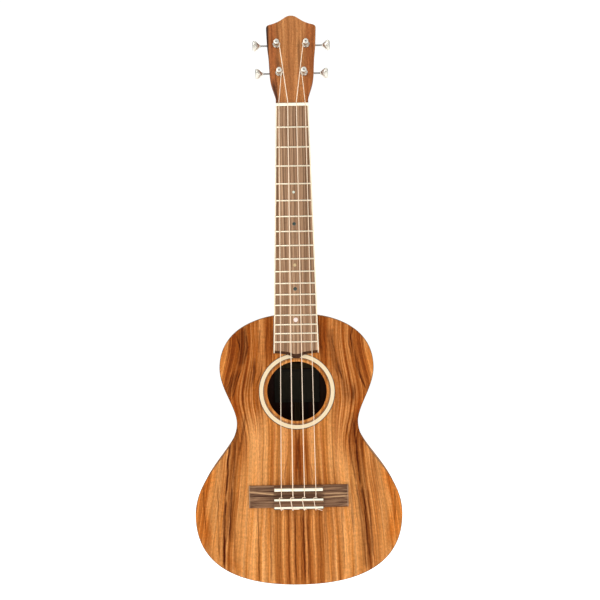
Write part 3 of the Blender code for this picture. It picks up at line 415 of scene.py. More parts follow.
def acacia_top():
    """Bookmatched figured wood: both halves mirror about the centre, with dark heart strokes."""
    r = Recipe("acacia top")
    x, _, z = r.millimetres()
    wander = r.noise(r.stretched(x, z, 45.0, 70.0), 2.0)
    wobble = r.times(r.minus(wander, 0.5), 4.5)
    waved = r.swayed(x, z, 14.0, 16.0, 3.0, 7.0)
    fan = r.fit(z, -350.0, -540.0, 1.0, 1.22)
    lean = r.times(r.fit(z, -262.0, -335.0), r.times(r.fit(z, -395.0, -335.0), 11.0))
    half = r.math("DIVIDE", r.math("ABSOLUTE", x), fan)
    half = r.minus(half, r.times(lean, r.fit(half, 20.0, 80.0)))
    half = r.plus(half, wobble)
    bands = r.noise(r.stretched(half, z, 8.0, 500.0), 3.0, 0.6)
    colour = r.ramp(
        bands,
        (0.32, tint(162, 92, 36)), (0.44, tint(203, 132, 65)),
        (0.56, tint(225, 160, 96)), (0.72, tint(244, 184, 122)),
    )
    ribbons = r.noise(r.stretched(half, z, 2.5, 300.0, 3.0), 3.0, 0.7)
    colour = r.shade(colour, ribbons, 0.66, 1.15)
    lines = r.noise(r.stretched(half, z, 1.9, 170.0, 9.0), 2.0, 0.6)
    thin = r.fit(lines, 0.56, 0.68)
    colour = r.mix(r.times(thin, 0.62), colour, tint(188, 138, 92), "MULTIPLY")
    group = stroke_group()
    glow = strokes(r, group, x, z, GLOW, 24.0)
    colour = r.mix(glow, colour, tint(244, 214, 160), "MULTIPLY")
    dusk = strokes(r, group, waved, z, DUSK, 45.0)
    uneven = r.fit(ribbons, 0.34, 0.66, 1.40, 0.25, smooth=False)
    colour = r.mix(r.times(dusk, uneven), colour, tint(190, 150, 96), "MULTIPLY")
    dark = strokes(r, group, waved, z, FIGURE)
    broken = r.noise(r.stretched(half, z, 1.5, 90.0, 5.0), 3.0, 0.65)
    dark = r.times(dark, r.fit(broken, 0.30, 0.62, 0.45, 1.20))
    colour = r.mix(r.math("MINIMUM", dark, 1.0), colour, tint(84, 32, 2))
    curl = r.noise(r.stretched(half, z, 13.0, 3.2, 11.0), 2.0, 0.5)
    colour = r.shade(colour, curl, 0.93, 1.06)
    speckle = r.noise(r.stretched(half, z, 1.7, 3.2, 13.0), 2.0, 0.6)
    colour = r.shade(colour, speckle, 0.82, 1.15)
    colour = grain(r, half, z, colour, 0.16, 0.40, 4.0)
    r.set(Base_Color=r.deepen(colour, 1.10, 1.04), Roughness=0.45, Specular_IOR_Level=0.05)
    return r.material


def plain_wood(
    name, dark, middle, light, along="z", wide=7.0,
    pores=0.3, roughness=0.45, lines=0.10, shell=False, edge=None,
):
    """Straight-grained wood, whose bands are about wide millimetres across.

    The body's shell takes its grain from its own numbers, the third of which marks its inside, which is
    darkened as painted shade. Where y is greater than edge, in millimetres, it's a board's side, made darker
    than its face as painted shade."""
    r = Recipe(name)
    axes = dict(zip("xyz", r.millimetres("grain" if shell else None)))
    inside = axes["z"]
    length = axes.pop(along)
    across, depth = axes.values()
    across = r.swayed(across, length, 30.0, 90.0, 5.0)
    bands = r.noise(r.stretched(across, length, wide, 300.0, r.times(depth, 1 / wide)), 3.0, 0.6)
    colour = r.ramp(bands, (0.34, dark), (0.5, middle), (0.66, light))
    colour = grain(r, across, length, colour, lines, pores, 5.0, depth)
    # Painted shade on a board's sides, which turn from the light
    if edge:
        colour = r.mix(r.fit(depth, edge, edge + 0.3), colour, tint(120, 100, 84), "MULTIPLY")
    # Painted shade inside the body
    if shell:
        colour = r.mix(r.fit(inside, 0.2, 0.8), colour, tint(72, 52, 44), "MULTIPLY")
    r.set(Base_Color=colour, Roughness=roughness, Specular_IOR_Level=0.12)
    return r.material


# Painted shade along the head veneer's edges and beside and below its posts, a few dark grain streaks among
# them, and its redder sides, given as the soundboard's are
HEAD_SHADE_AND_STREAKS = (
    ((-28.8, 106), (-28.6, 60), (-26.0, 14), 3.0, 1.00),
    ((-22.5, 36), (-19.5, 18), (-15.0, -2), 2.2, 0.80),
    ((-19.5, 40), (-17.5, 26), (-15.5, 10), 1.2, 0.45),
    ((-16.5, 62), (-15.0, 48), (-13.5, 34), 2.4, 0.45),
    ((9.0, 82), (9.0, 62), (10.0, 40), 1.9, 0.45),
    ((28.6, 98), (28.2, 60), (25.0, 20), 0.7, 0.60),
)
HEAD_RED = (
    ((-24, 140), (-23, 60), (-20, -30), 7.0, 0.90),
    ((24, 140), (22, 60), (18, -30), 6.0, 0.80),
)


def head_wood():
    """The head's veneer: straight fine grain, golden in the middle, redder at the sides, with painted shade
    along its edges and by its posts, and a few dark streaks.
    """
    r = Recipe("head veneer")
    x, y, z = r.millimetres()
    across = r.swayed(x, z, 30.0, 60.0, 5.0)
    bands = r.noise(r.stretched(across, z, 3.4, 120.0), 3.0, 0.6)
    colour = r.ramp(bands, (0.32, tint(142, 86, 44)), (0.5, tint(180, 115, 63)), (0.68, tint(202, 138, 82)))
    group = stroke_group()
    red = strokes(r, group, x, z, HEAD_RED, 30.0)
    colour = r.mix(red, colour, tint(238, 212, 196), "MULTIPLY")
    # Painted shade along the edges and by the posts, with some dark grain streaks
    dark = strokes(r, group, x, z, HEAD_SHADE_AND_STREAKS)
    colour = r.mix(dark, colour, tint(44, 24, 14))
    blots = r.noise(r.join(r.times(x, 0.4), 3.0, r.times(z, 0.22)), 3.0, 0.6)
    colour = r.shade(colour, blots, 0.90, 1.06)
    speckle = r.noise(r.stretched(across, z, 1.2, 2.0, 4.0), 2.0, 0.6)
    colour = r.shade(colour, speckle, 0.80, 1.17)
    colour = grain(r, across, z, colour, 0.10, 0.45, 3.0, y)
    r.set(Base_Color=colour, Roughness=0.45, Specular_IOR_Level=0.12)
    return r.material


# Pale streaks of the bridge's wings, in millimetres: side, height at the middle, slope, half width
SAP_STREAKS = ((-1, -446.8, -0.08, 0.9), (1, -444.6, 0.0, 0.6), (1, -448.4, 0.0, 0.9))


def bridge_wood():
    """The bridge's striped walnut, with a few pale sap streaks along its wings."""
    r = Recipe("walnut bridge")
    x, y, z = r.millimetres()
    across = r.swayed(z, x, 12.0, 40.0, 2.4)
    bands = r.noise(r.stretched(across, x, 1.5, 160.0, r.times(y, 0.5)), 3.0, 0.65)
    colour = r.ramp(bands, (0.36, tint(72, 46, 32)), (0.5, tint(112, 80, 58)), (0.64, tint(152, 116, 86)))
    pale = 0.0
    for side, height, slope, half in SAP_STREAKS:
        on_wing = r.fit(r.times(x, side), 24.0, 31.0)
        level = r.plus(r.times(x, slope), height)
        away = r.math("ABSOLUTE", r.minus(across, level))
        pale = r.math("MAXIMUM", pale, r.times(on_wing, r.fit(away, half, 0.2 * half)))
    colour = r.mix(r.times(pale, 0.75), colour, tint(210, 168, 122))
    # Painted highlight: the wings' rounded tips are lightened where they catch the light
    tip = r.fit(r.math("ABSOLUTE", x), 55.6, 56.2)
    colour = r.mix(r.times(tip, 0.55), colour, tint(186, 152, 120))
    colour = grain(r, across, x, colour, 0.14, 0.4, 5.0, y)
    r.set(Base_Color=colour, Roughness=0.55, Specular_IOR_Level=0.12)
    return r.material


def polished(name, colour, roughness=0.3, mottle=0.04, coat=0.0):
    """A cast or moulded surface: slight mottling, faint waviness and a soft shine."""
    r = Recipe(name)
    place = r.millimetres()
    shaded = r.shade(colour, r.cloud(place, (0.25, 0.25, 0.08), 3.0), 1 - mottle, 1 + mottle)
    r.bump(r.cloud(place, (3.0, 3.0, 1.5), 2.0), 0.00002, 0.3)
    r.set(Base_Color=shaded, Roughness=roughness, Coat_Weight=coat, Coat_Roughness=0.1)
    return r.material


def metal(name, colour, roughness, brushed=0.0):
    """Plated or machined metal, with the slight unevenness of its polish."""
    r = Recipe(name)
    place = r.millimetres()
    spots = r.cloud(place, (1.4, 1.4, 1.4), 3.0)
    uneven = r.fit(spots, 0.3, 0.7, roughness * 0.7, roughness * 1.4, smooth=False)
    r.bump(r.cloud(place, (2.0, 2.0, 14.0), 2.0), 0.00001, 0.15 + brushed)
    r.set(Base_Color=r.shade(colour, spots, 0.96, 1.03), Roughness=uneven, Metallic=1.0)
    return r.material


def shell(name, dark, light, gleam):
    """Pearl or abalone: swirled bands of colour under a clear polish."""
    r = Recipe(name)
    swirl = r.cloud(r.millimetres(), (0.9, 0.5, 0.9), 3.0, 0.6, 2.5)
    colour = r.ramp(swirl, (0.35, dark), (0.5, light), (0.62, gleam), (0.75, dark))
    r.set(Base_Color=colour, Roughness=0.15, Coat_Weight=0.6, Coat_Roughness=0.05)
    return r.material


ACACIA_TOP = acacia_top()
ACACIA_RIB = plain_wood(
    "acacia sides", tint(120, 66, 30), tint(180, 114, 58), tint(210, 148, 88), "x", 6.0,
    lines=0.16, shell=True,
)
ACACIA_BACK = plain_wood(
    "acacia back", tint(112, 60, 28), tint(182, 116, 60), tint(214, 152, 90), "x", 9.0,
    lines=0.16, shell=True,
)
# Darker wood for the top's rounded outer edge: painted shade where the edge turns from the light
ACACIA_EDGE_SHADE = plain_wood("acacia edge in painted shade", tint(92, 66, 40), tint(116, 84, 50), tint(134, 98, 60), wide=3.0)
MAHOGANY = plain_wood("mahogany neck", tint(104, 54, 30), tint(140, 78, 46), tint(168, 102, 62), wide=6.0)
HEAD_VENEER = head_wood()
# Its sides and end chamfer get painted shade, through edge
WALNUT = plain_wood(
    "walnut fingerboard", tint(100, 72, 52), tint(154, 119, 90), tint(194, 157, 124),
    wide=1.7, pores=0.5, roughness=0.6, lines=0.18, edge=-5.42,
)
WALNUT_BRIDGE = bridge_wood()
# Woods for the body's inside: their darkness is painted shade, not the woods' own colour
SHADED_MAHOGANY = plain_wood("mahogany in painted shade", tint(26, 14, 10), tint(38, 22, 14), tint(50, 30, 20), wide=6.0)
SHADED_SPRUCE = plain_wood(
    "spruce in painted shade", tint(50, 38, 20), tint(62, 48, 26), tint(74, 58, 34),
    wide=1.6, pores=0.05, roughness=0.7,
)
CREAM = polished("cream inlay", tint(232, 210, 172), 0.4)
IVORY = polished("ivory binding", tint(246, 230, 200), 0.35)
DARK_LINE = polished("dark purfling", tint(64, 36, 18), 0.45)
BONE = polished("bone", tint(255, 250, 226), 0.28, 0.03, 0.2)
NYLON = polished("nylon", tint(252, 228, 200), 0.32, 0.02, 0.3)
# The strings' turns round the posts: nylon darkened as painted shade under the posts' tops
SHADED_NYLON = polished("nylon in painted shade", tint(124, 94, 60), 0.32, 0.02, 0.3)
CHROME = metal("chrome", tint(236, 234, 226), 0.18)
SATIN_CHROME = metal("satin chrome", tint(226, 222, 210), 0.36)
FRET_METAL = metal("nickel silver", tint(238, 228, 204), 0.30, 0.2)
GEAR_STEEL = metal("gear steel", tint(150, 148, 144), 0.35, 0.4)
# The label's own olive colours, darkened as painted shade of the body's inside
LABEL_PAPER = polished("label paper", tint(38, 31, 14), 0.8, 0.08)
LABEL_FIELD = polished("label field", tint(48, 40, 20), 0.8, 0.08)
PEARL = shell("pearl", tint(214, 190, 178), tint(250, 226, 220), tint(255, 244, 238))
GREEN_PEARL = shell("green pearl", tint(120, 140, 120), tint(222, 230, 212), tint(240, 244, 230))
GOLD_PEARL = shell("gold pearl", tint(176, 146, 104), tint(206, 180, 132), tint(222, 198, 150))
ABALONE = shell("abalone", tint(28, 44, 36), tint(46, 66, 54), tint(84, 84, 88))


# ---------------------------------------------------------------- making pieces

def link(name, mesh, material, body=INSTRUMENT, replaces=(), slot=None, sharp=40.0):
    """Puts a mesh in the scene as a piece that rides on a body and stands for CAD nodes."""
    mesh.shade_smooth()
    mesh.set_sharp_from_angle(angle=math.radians(sharp))
    mesh.materials.append(material)
    piece = bpy.data.objects.new(name, mesh)
    bpy.context.scene.collection.objects.link(piece)
    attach(piece, body)
    if replaces:
        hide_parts(*replaces)
    return piece


def mesh_of(name, build):
    """A mesh made by a function that fills a bmesh."""
    work = bmesh.new()
    build(work)
    bmesh.ops.recalc_face_normals(work, faces=work.faces)
    mesh = bpy.data.meshes.new(name)
    work.to_mesh(mesh)
    work.free()
    return mesh


def skin(work, rings, closed=False):
    """Faces through rings of equally many points, with the last joined to the first or both ends capped."""
    rows = [[work.verts.new(point) for point in ring] for ring in rings]
    pairs = list(zip(rows, rows[1:]))
    if closed:
        pairs.append((rows[-1], rows[0]))
    else:
        work.faces.new(rows[0])
        work.faces.new(rows[-1])
    for low, high in pairs:
        count = len(low)
        for i in range(count):
            j = (i + 1) % count
            work.faces.new((low[i], low[j], high[j], high[i]))


def loft_mesh(name, rings, closed=False):
    return mesh_of(name, lambda work: skin(work, rings, closed))


def loft(name, rings, material, closed=False, **how):
    return link(name, loft_mesh(name, rings, closed), material, **how)


def round_trip(count):
    """The cosine and sine of angles spread evenly round a circle."""
    angles = [2 * math.pi * i / count for i in range(count)]
    return [(math.cos(angle), math.sin(angle)) for angle in angles]


def ring_of(radius, reach, axis, place, count):
    """A circle about an axis, at a distance along it from a place."""
    axis = Vector(axis).normalized()
    side = axis.orthogonal().normalized()
    other = axis.cross(side)
    centre = Vector(place) + axis * reach
    return [centre + side * (radius * c) + other * (radius * s) for c, s in round_trip(count)]


def turned(name, profile, axis, place, material, count=48, closed=False, **how):
    """A piece turned about an axis, from its profile of points (radius, distance along the axis)."""
    rings = [ring_of(radius, reach, axis, place, count) for radius, reach in profile]
    return loft(name, rings, material, closed, **how)


def rounded(profile, radius, steps=3, closed=False):
    """A profile of 2-D points with its corners rounded."""
    points = [Vector(point) for point in profile]
    count = len(points)
    result = []
    for i, point in enumerate(points):
        if not closed and i in (0, count - 1):
            result.append(tuple(point))
            continue
        before = points[i - 1] - point
        after = points[(i + 1) % count] - point
        reach = min(radius, before.length * 0.45, after.length * 0.45)
        start = point + before.normalized() * reach
        end = point + after.normalized() * reach
        for k in range(steps + 1):
            t = k / steps
            result.append(tuple((1 - t) ** 2 * start + 2 * t * (1 - t) * point + t * t * end))
    return result


def smooth_path(points, steps=8, even_ends=True):
    """A smooth curve through the given points, which may have two, three or four numbers each."""
    points = [Vector(point) for point in points]
    if even_ends:
        padded = [2 * points[0] - points[1], *points, 2 * points[-1] - points[-2]]
    else:
        padded = [points[0], *points, points[-1]]
    result = []
    for i in range(1, len(padded) - 2):
        before, start, end, after = padded[i - 1:i + 3]
        for k in range(steps):
            t = k / steps
            result.append(
                0.5 * (2 * start + (end - before) * t + (2 * before - 5 * start + 4 * end - after) * t**2
                       + (3 * start - before - 3 * end + after) * t**3)
            )
    return [*result, points[-1]]


def tube_rings(path, radius, count=12):
    """Rings round a path that don't twist, with narrower ends."""
    path = [Vector(point) for point in path]
    normal = (path[1] - path[0]).normalized().orthogonal().normalized()
    rings = []
    for i, point in enumerate(path):
        tangent = (path[min(i + 1, len(path) - 1)] - path[max(i - 1, 0)]).normalized()
        normal = (normal - tangent * normal.dot(tangent)).normalized()
        other = tangent.cross(normal)
        reach = radius * (0.6 if i in (0, len(path) - 1) else 1.0)
        rings.append([point + (normal * c + other * s) * reach for c, s in round_trip(count)])
    return rings


def tube(name, path, radius, **how):
    """A length of string."""
    return loft(name, tube_rings(path, radius, 14), NYLON, slot="nylon", sharp=80, **how)


def cut(piece, rings_list):
    """Cuts closed lofts out of a piece, and applies the result to its mesh."""
    def build(work):
        for rings in rings_list:
            skin(work, rings)

    tool = bpy.data.objects.new("cutter", mesh_of("cutter", build))
    bpy.context.scene.collection.objects.link(tool)
    step = piece.modifiers.new("cut", "BOOLEAN")
    step.operation = "DIFFERENCE"
    step.solver = "EXACT"
    step.object = tool
    graph = bpy.context.evaluated_depsgraph_get()
    mesh = bpy.data.meshes.new_from_object(piece.evaluated_get(graph))
    piece.modifiers.clear()
    piece.data = mesh
    bpy.data.objects.remove(tool)
    mesh.set_sharp_from_angle(angle=math.radians(40))


def give_grain(mesh, numbers):
    """Stores each point's own grain numbers: across the bands, along them, and 1 mm if it lies inside."""
    values = mesh.attributes.new("grain", "FLOAT_VECTOR", "POINT")
    for i, vertex in enumerate(mesh.vertices):
        values.data[i].vector = numbers(i, vertex.co)


def bone_bar(name, profile, middle, places, node):
    """A bar of bone along x. At each place (x, size) its section (z, y) is scaled about its middle."""
    rings = []
    for x, size in places:
        rings.append([
            (x, middle.y + (y - middle.y) * size, middle.x + (z - middle.x) * size) for z, y in profile
        ])
    return loft(name, rings, BONE, replaces=(node,), slot="bone", sharp=50)


# ---------------------------------------------------------------- body

def body_half(inset=0.0, steps=BODY_STEPS):
    """Points (x, z) of the body's treble half, from the neck to the tail, moved inwards by inset.

    The numbers of its four curves are a script's fit to the photo's outline."""
    top = Vector((0.0, BOARD.top))
    upper = Vector((0.0886, -0.2998))
    waist = Vector((0.0697, -0.3632))
    lower = Vector((BOARD.right, -0.4686))
    tail = Vector((0.0, BOARD.bottom))
    across = Vector((1.0, 0.0))
    up = Vector((0.0, 1.0))
    curves = (
        (top, top + across * 0.0581, upper + up * 0.0368, upper),
        (upper, upper - up * 0.0239, waist + up * 0.0187, waist),
        (waist, waist - up * 0.0319, lower + up * 0.0479, lower),
        (lower, lower - up * 0.0405, tail + across * 0.0947, tail),
    )
    points = []
    for p0, p1, p2, p3 in curves:
        for i in range(steps + (p3 == tail)):
            t = i / steps
            s = 1 - t
            place = s**3 * p0 + 3 * s * s * t * p1 + 3 * s * t * t * p2 + t**3 * p3
            heading = (s * s * (p1 - p0) + 2 * s * t * (p2 - p1) + t * t * (p3 - p2)).normalized()
            inwards = Vector((heading.y, -heading.x))
            points.append(place + inwards * inset)
    return [(max(x, 0.0), z) for x, z in points]


def whole(points):
    """Both halves of an outline, from points (x, z) of its treble half."""
    return list(points) + [(-x, z) for x, z in reversed(points[1:-1])]


def back_outside(z):
    """The depth y of the back's outer face at a height."""
    share = (BOARD.top - z) / (BOARD.top - BOARD.bottom)
    return DEPTH_AT_NECK + (DEPTH_AT_TAIL - DEPTH_AT_NECK) * share


def plate_edge(inset_levels, level):
    """Rings of the body's outline, each (inset, level), where level turns a depth into y."""
    rings = []
    for inset, depth in inset_levels:
        rings.append([(x, level(depth, z), z) for x, z in whole(body_half(inset))])
    return rings


def edge_round(radius, steps=5):
    """(inset, depth) round a plate's outer edge, from its face to its side."""
    levels = []
    for i in range(steps + 1):
        angle = math.pi / 2 * i / steps
        levels.append((radius * (1 - math.sin(angle)), radius * (1 - math.cos(angle))))
    return levels


TOP_EDGE_ROUND = 0.0009
BACK_EDGE_ROUND = 0.0012
HOLE_ROUND = 0.0005
ROSETTE_CHANNEL = 0.0008  # deep
ROSETTE_CHANNELS = ((0.0380, 0.0441), (0.0369, 0.0374))  # (inner radius, outer radius)
ROSETTE_WIDTH = 0.0044
ROSETTE_LINES = {
    "rosette_line_outer": (0.04330, 0.04395),
    "rosette_line_inner": (0.03815, 0.03880),
    "rosette_line_hole": (0.03700, 0.03735),
}


def make_soundboard():
    """The top: rounded outer edge, rosette channels and a rounded sound hole."""
    outline = whole(body_half())
    angles = [math.atan2(z - SOUND_HOLE.z, x) for x, z in outline]

    def circle(radius, y):
        return [(radius * math.cos(a), y, SOUND_HOLE.z + radius * math.sin(a)) for a in angles]

    rings = [[(x, PLATE_THICKNESS, z) for x, z in outline]]
    rings += plate_edge(reversed(edge_round(TOP_EDGE_ROUND)), lambda depth, z: depth)
    face = [Vector(point) for point in rings[-1]]
    outer_radius = 0.0444
    for k in range(1, 7):
        rings.append([a.lerp(Vector(b), k / 7) for a, b in zip(face, circle(outer_radius, 0.0))])
    steps = [(outer_radius, 0.0)]
    for inner, outer in ROSETTE_CHANNELS:
        steps += [(outer, 0.0), (outer, ROSETTE_CHANNEL), (inner, ROSETTE_CHANNEL), (inner, 0.0)]
    steps += [
        (SOUND_HOLE_RADIUS + HOLE_ROUND, 0.0), (SOUND_HOLE_RADIUS + 0.15 * HOLE_ROUND, 0.15 * HOLE_ROUND),
        (SOUND_HOLE_RADIUS, HOLE_ROUND), (SOUND_HOLE_RADIUS, PLATE_THICKNESS),
    ]
    rings += [circle(radius, y) for radius, y in steps]
    top = loft(
        "top_plate", rings, ACACIA_TOP, closed=True, replaces=("soundboard",), slot="acacia_top", sharp=50,
    )
    # Faces round the outer edge take the darker wood, as painted shade
    top.data.materials.append(ACACIA_EDGE_SHADE)
    for face in top.data.polygons:
        away = math.hypot(face.center.x, face.center.z - SOUND_HOLE.z)
        if away > outer_radius + 0.0016 and face.normal.y > -0.985:
            face.material_index = 1


def make_rosette():
    """The cream ring and the dark lines each side of it, set flush with the top."""
    rings = {"rosette": (ROSETTE.right - ROSETTE_WIDTH, ROSETTE.right), **ROSETTE_LINES}
    for name, (inner, outer) in rings.items():
        cream = name == "rosette"
        levels = ((inner, ROSETTE_CHANNEL), (outer, ROSETTE_CHANNEL), (outer, -0.00002), (inner, -0.00002))
        turned(
            name, levels, (0, 1, 0), SOUND_HOLE, CREAM if cream else DARK_LINE, 128, closed=True,
            replaces=("rosette_ring",) if cream else (), slot="cream_inlay",
        )


def make_back():
    """The back, whose grain numbers follow the body's length and width."""
    levels = [(0.0, PLATE_THICKNESS), *reversed(edge_round(BACK_EDGE_ROUND))]
    mesh = loft_mesh("back_panel", plate_edge(levels, lambda depth, z: back_outside(z) - depth))

    def numbers(_, place):
        inside = place.y < back_outside(place.z) - 0.9 * PLATE_THICKNESS
        return place.z, place.x, 0.001 * inside

    give_grain(mesh, numbers)
    link("back_panel", mesh, ACACIA_BACK, replaces=("back_plate",), slot="acacia_shell", sharp=50)


def make_rib(name, node, side):
    """A bent side, with its own grain running round the body."""
    outer = body_half()
    inner = body_half(RIB_THICKNESS)
    lengths = [0.0]
    for (x0, z0), (x1, z1) in zip(outer, outer[1:]):
        lengths.append(lengths[-1] + math.hypot(x1 - x0, z1 - z0))
    gap = 0.00004
    front = PLATE_THICKNESS + gap
    rings = []
    for (x, z), (xi, zi) in zip(outer, inner):
        back = back_outside(z) - PLATE_THICKNESS - gap
        x, xi = side * max(x, gap), side * max(xi, gap)
        rings.append([(x, front, z), (x, back, z), (xi, back, zi), (xi, front, zi)])
    mesh = loft_mesh(name, rings)
    # Each ring has four points, of which the last two lie inside
    give_grain(mesh, lambda i, place: (lengths[i // 4] + 0.5 * (side > 0), place.y, 0.001 * (i % 4 > 1)))
    link(name, mesh, ACACIA_RIB, replaces=(node,), slot="acacia_shell", sharp=50)


def make_linings():
    """Kerfed strips in the corners inside, sawn part way through every few millimetres."""
    width, height, steps = 0.0050, 0.0090, 60
    outer = body_half(RIB_THICKNESS + 0.0002, steps)
    inner = body_half(RIB_THICKNESS + width, steps)
    kerf = body_half(RIB_THICKNESS + 0.0012, steps)
    kept = [i for i, (x, z) in enumerate(inner) if x > 0.0305 and i % (4 * steps) > 4]
    for where in ("top", "back"):
        for side, hand in ((-1, "bass"), (1, "treble")):
            rings = []
            for i in kept:
                x, z = outer[i]
                if where == "top":
                    foot, crest = PLATE_THICKNESS + 0.0002, PLATE_THICKNESS + height
                else:
                    foot = back_outside(z) - PLATE_THICKNESS - 0.0002
                    crest = foot - height
                shoulder = foot + (crest - foot) * 0.25
                for xi, zi in ((inner[i], kerf[i]) if i % 2 else (kerf[i], inner[i])):
                    a, b = side * x, side * xi
                    rings.append([(a, foot, z), (b, foot, zi), (b, shoulder, zi), (a, crest, z)])
            node = f"lining_{where}_{hand}"
            loft(f"kerfed_{node}", rings, SHADED_SPRUCE, replaces=(node,), slot="spruce")


SEAM_STRIPS = ((-0.2640, -0.2965), (-0.3035, -0.4515), (-0.4585, -0.5320))  # (top, bottom)
SEAM_STRIP_HALF = 0.0042
SEAM_STRIP_RISE = 0.0020


def make_inside():
    """The seam strip down the back and a blank label, both seen through the sound hole."""
    inside = PLATE_THICKNESS + 0.0001
    half, rise = SEAM_STRIP_HALF, SEAM_STRIP_RISE
    section = rounded([(-half, 0.0), (-half * 0.8, rise), (half * 0.8, rise), (half, 0.0)], 0.0004)
    for number, ends in enumerate(SEAM_STRIPS, 1):
        rings = [[(x, back_outside(z) - inside - y, z) for x, y in section] for z in ends]
        loft(f"seam_strip_{number}", rings, SHADED_SPRUCE, slot="spruce")
    for name, material, half, low, high, levels in (
        ("blank_label", LABEL_PAPER, 0.0265, -0.3437, -0.3045, (0.00215, 0.00230)),
        ("label_frame", LABEL_FIELD, 0.0212, -0.3400, -0.3075, (0.00232, 0.00242)),
    ):
        outline = rounded([(half, high), (-half, high), (-half, low), (half, low)], 0.001, 3, True)
        rings = [[(x, back_outside(z) - PLATE_THICKNESS - y, z) for x, z in outline] for y in levels]
        loft(name, rings, material, slot="cream_inlay")


make_soundboard()
make_rosette()
make_back()
make_rib("side_bass", "rib_bass", -1)
make_rib("side_treble", "rib_treble", 1)
make_linings()
make_inside()


# ---------------------------------------------------------------- neck and head

def head_point(u, v, w):
    """A point of the head: u across, v along it from the nut and w out of its face."""
    along = Vector((0.0, math.sin(HEAD_TILT), math.cos(HEAD_TILT)))
    out = Vector((0.0, -math.cos(HEAD_TILT), math.sin(HEAD_TILT)))
    return HEAD_FOOT + Vector((u, 0.0, 0.0)) + along * v + out * w


def head_outline(foot, steps=3):
    """The head's treble side from v = foot to the tip."""
    beyond = (-HEAD_OUTLINE[-1][0], HEAD_OUTLINE[-1][1])
    path = smooth_path([(u, v, 0.0) for u, v in (*HEAD_OUTLINE, (0.0, HEAD_TIP), beyond)], steps)
    return [(max(u, 0.0), v) for u, v, _ in path[:-steps] if v > foot]


HEAD_SQUARENESS = 14.0
NECK_SECTIONS = (
    (-0.0050, 0.0187, 0.0136, 2.6), (-0.0200, 0.0191, 0.0134, 2.2), (-0.0700, 0.0204, 0.0138, 2.1),
    (-0.1300, 0.0219, 0.0146, 2.1), (-0.1800, 0.0232, 0.0155, 2.1), (-0.2000, 0.0237, 0.0175, 2.1),
    (-0.2120, 0.0240, 0.0225, 2.0), (-0.2200, 0.0242, 0.0310, 1.9), (-0.2260, 0.0244, 0.0420, 1.7),
    (-0.2310, 0.0245, 0.0510, 1.6), (-0.2360, 0.0246, 0.0560, 1.6), (-0.2460, 0.0249, 0.0590, 1.6),
)  # (height, half width, depth, roundness of the D)


def rod_ring(place, back, half, front, deep, roundness, count=40):
    """A section round a place, flat at the depth front and rounded behind. Depths run along back."""
    def point(x, depth):
        return place + Vector((x, 0.0, 0.0)) + back * depth

    ring = []
    for i in range(count + 1):
        angle = math.pi * i / count
        x = half * math.copysign(abs(math.cos(angle)) ** (2 / roundness), math.cos(angle))
        ring.append(point(x, front + (deep - front) * abs(math.sin(angle)) ** (2 / roundness)))
    return ring + [point(-half + 2 * half * i / 10, front) for i in range(1, 10)]


def make_neck():
    """The neck, its heel and the head's core in one piece of wood, bored for the tuner posts."""
    back = Vector((0.0, 1.0, 0.0))
    tilted = Vector((0.0, math.cos(HEAD_TILT), -math.sin(HEAD_TILT)))
    heel_end = [section for section in NECK_SECTIONS if section[0] > BOARD.top - 0.02]
    rings = []
    for height, half, depth, roundness in smooth_path(heel_end[::-1], 6, False):
        rings.append(rod_ring(Vector((0.0, 0.0, height)), back, half, 0.0, depth, roundness))
    start, half, depth, roundness = NECK_SECTIONS[0]
    turn_end = 0.0080  # along the head, where its tilted part begins
    core_front = VENEER_THICKNESS + 0.0001
    steps = 14
    for i in range(1, steps + 1):
        t = i / steps
        ease = t * t * (3 - 2 * t)
        place = Vector((0.0, 0.0, start)).lerp(head_point(0.0, turn_end, 0.0), t)
        place.y = HEAD_FOOT.y * ease + math.sin(HEAD_TILT) * turn_end * ease * ease
        deep = depth + (HEAD_THICKNESS - depth) * ease
        squareness = roundness * (HEAD_SQUARENESS / roundness) ** ease
        turn = back.lerp(tilted, ease).normalized()
        rings.append(rod_ring(place, turn, half, core_front * ease, deep, squareness))
    for half, v in head_outline(turn_end + 0.0004):
        place = head_point(0.0, v, 0.0)
        rings.append(rod_ring(place, tilted, max(half, 0.0008), core_front, HEAD_THICKNESS, HEAD_SQUARENESS))
    neck = loft("neck_and_head", rings, MAHOGANY, replaces=("neck",), slot="mahogany", sharp=50)
    body = [[(x, y, z) for x, z in whole(body_half(-0.00005, 24))] for y in (-0.01, DEPTH_AT_TAIL + 0.01)]
    cut(neck, [body] + post_holes())


TUNER_ROWS = {"upper": (0.01697, 0.0712), "lower": (0.01415, 0.0368)}  # (x, v) of the post
TUNERS = {"g": (-1, "lower"), "c": (-1, "upper"), "e": (1, "upper"), "a": (1, "lower")}
SLEEVE_RADIUS = 0.0039
WASHER_RADIUS = 0.0044
HEXAGON_FLAT = 0.0040


def post_place(name):
    """A post's place (x, v) on the head, where v is the distance along it."""
    side, row = TUNERS[name]
    x, v = TUNER_ROWS[row]
    return side * x, v


def post_holes():
    """Cutters for the posts' holes through the head."""
    holes = []
    for name in STRING_NAMES:
        x, v = post_place(name)
        rings = []
        for w in (-HEAD_THICKNESS - 0.01, 0.01):
            ring = ring_of(SLEEVE_RADIUS + 0.0001, 0.0, (0, 0, 1), (x, v, 0), 32)
            rings.append([head_point(u, along, w) for u, along, _ in ring])
        holes.append(rings)
    return holes


def inset_outline(points, inset):
    """A closed outline of 2-D points moved inwards; the points go round anticlockwise."""
    count = len(points)
    moved = []
    for i in range(count):
        before = Vector(points[i - 1])
        after = Vector(points[(i + 1) % count])
        heading = (after - before).normalized()
        moved.append(tuple(Vector(points[i]) + Vector((-heading.y, heading.x)) * inset))
    return moved


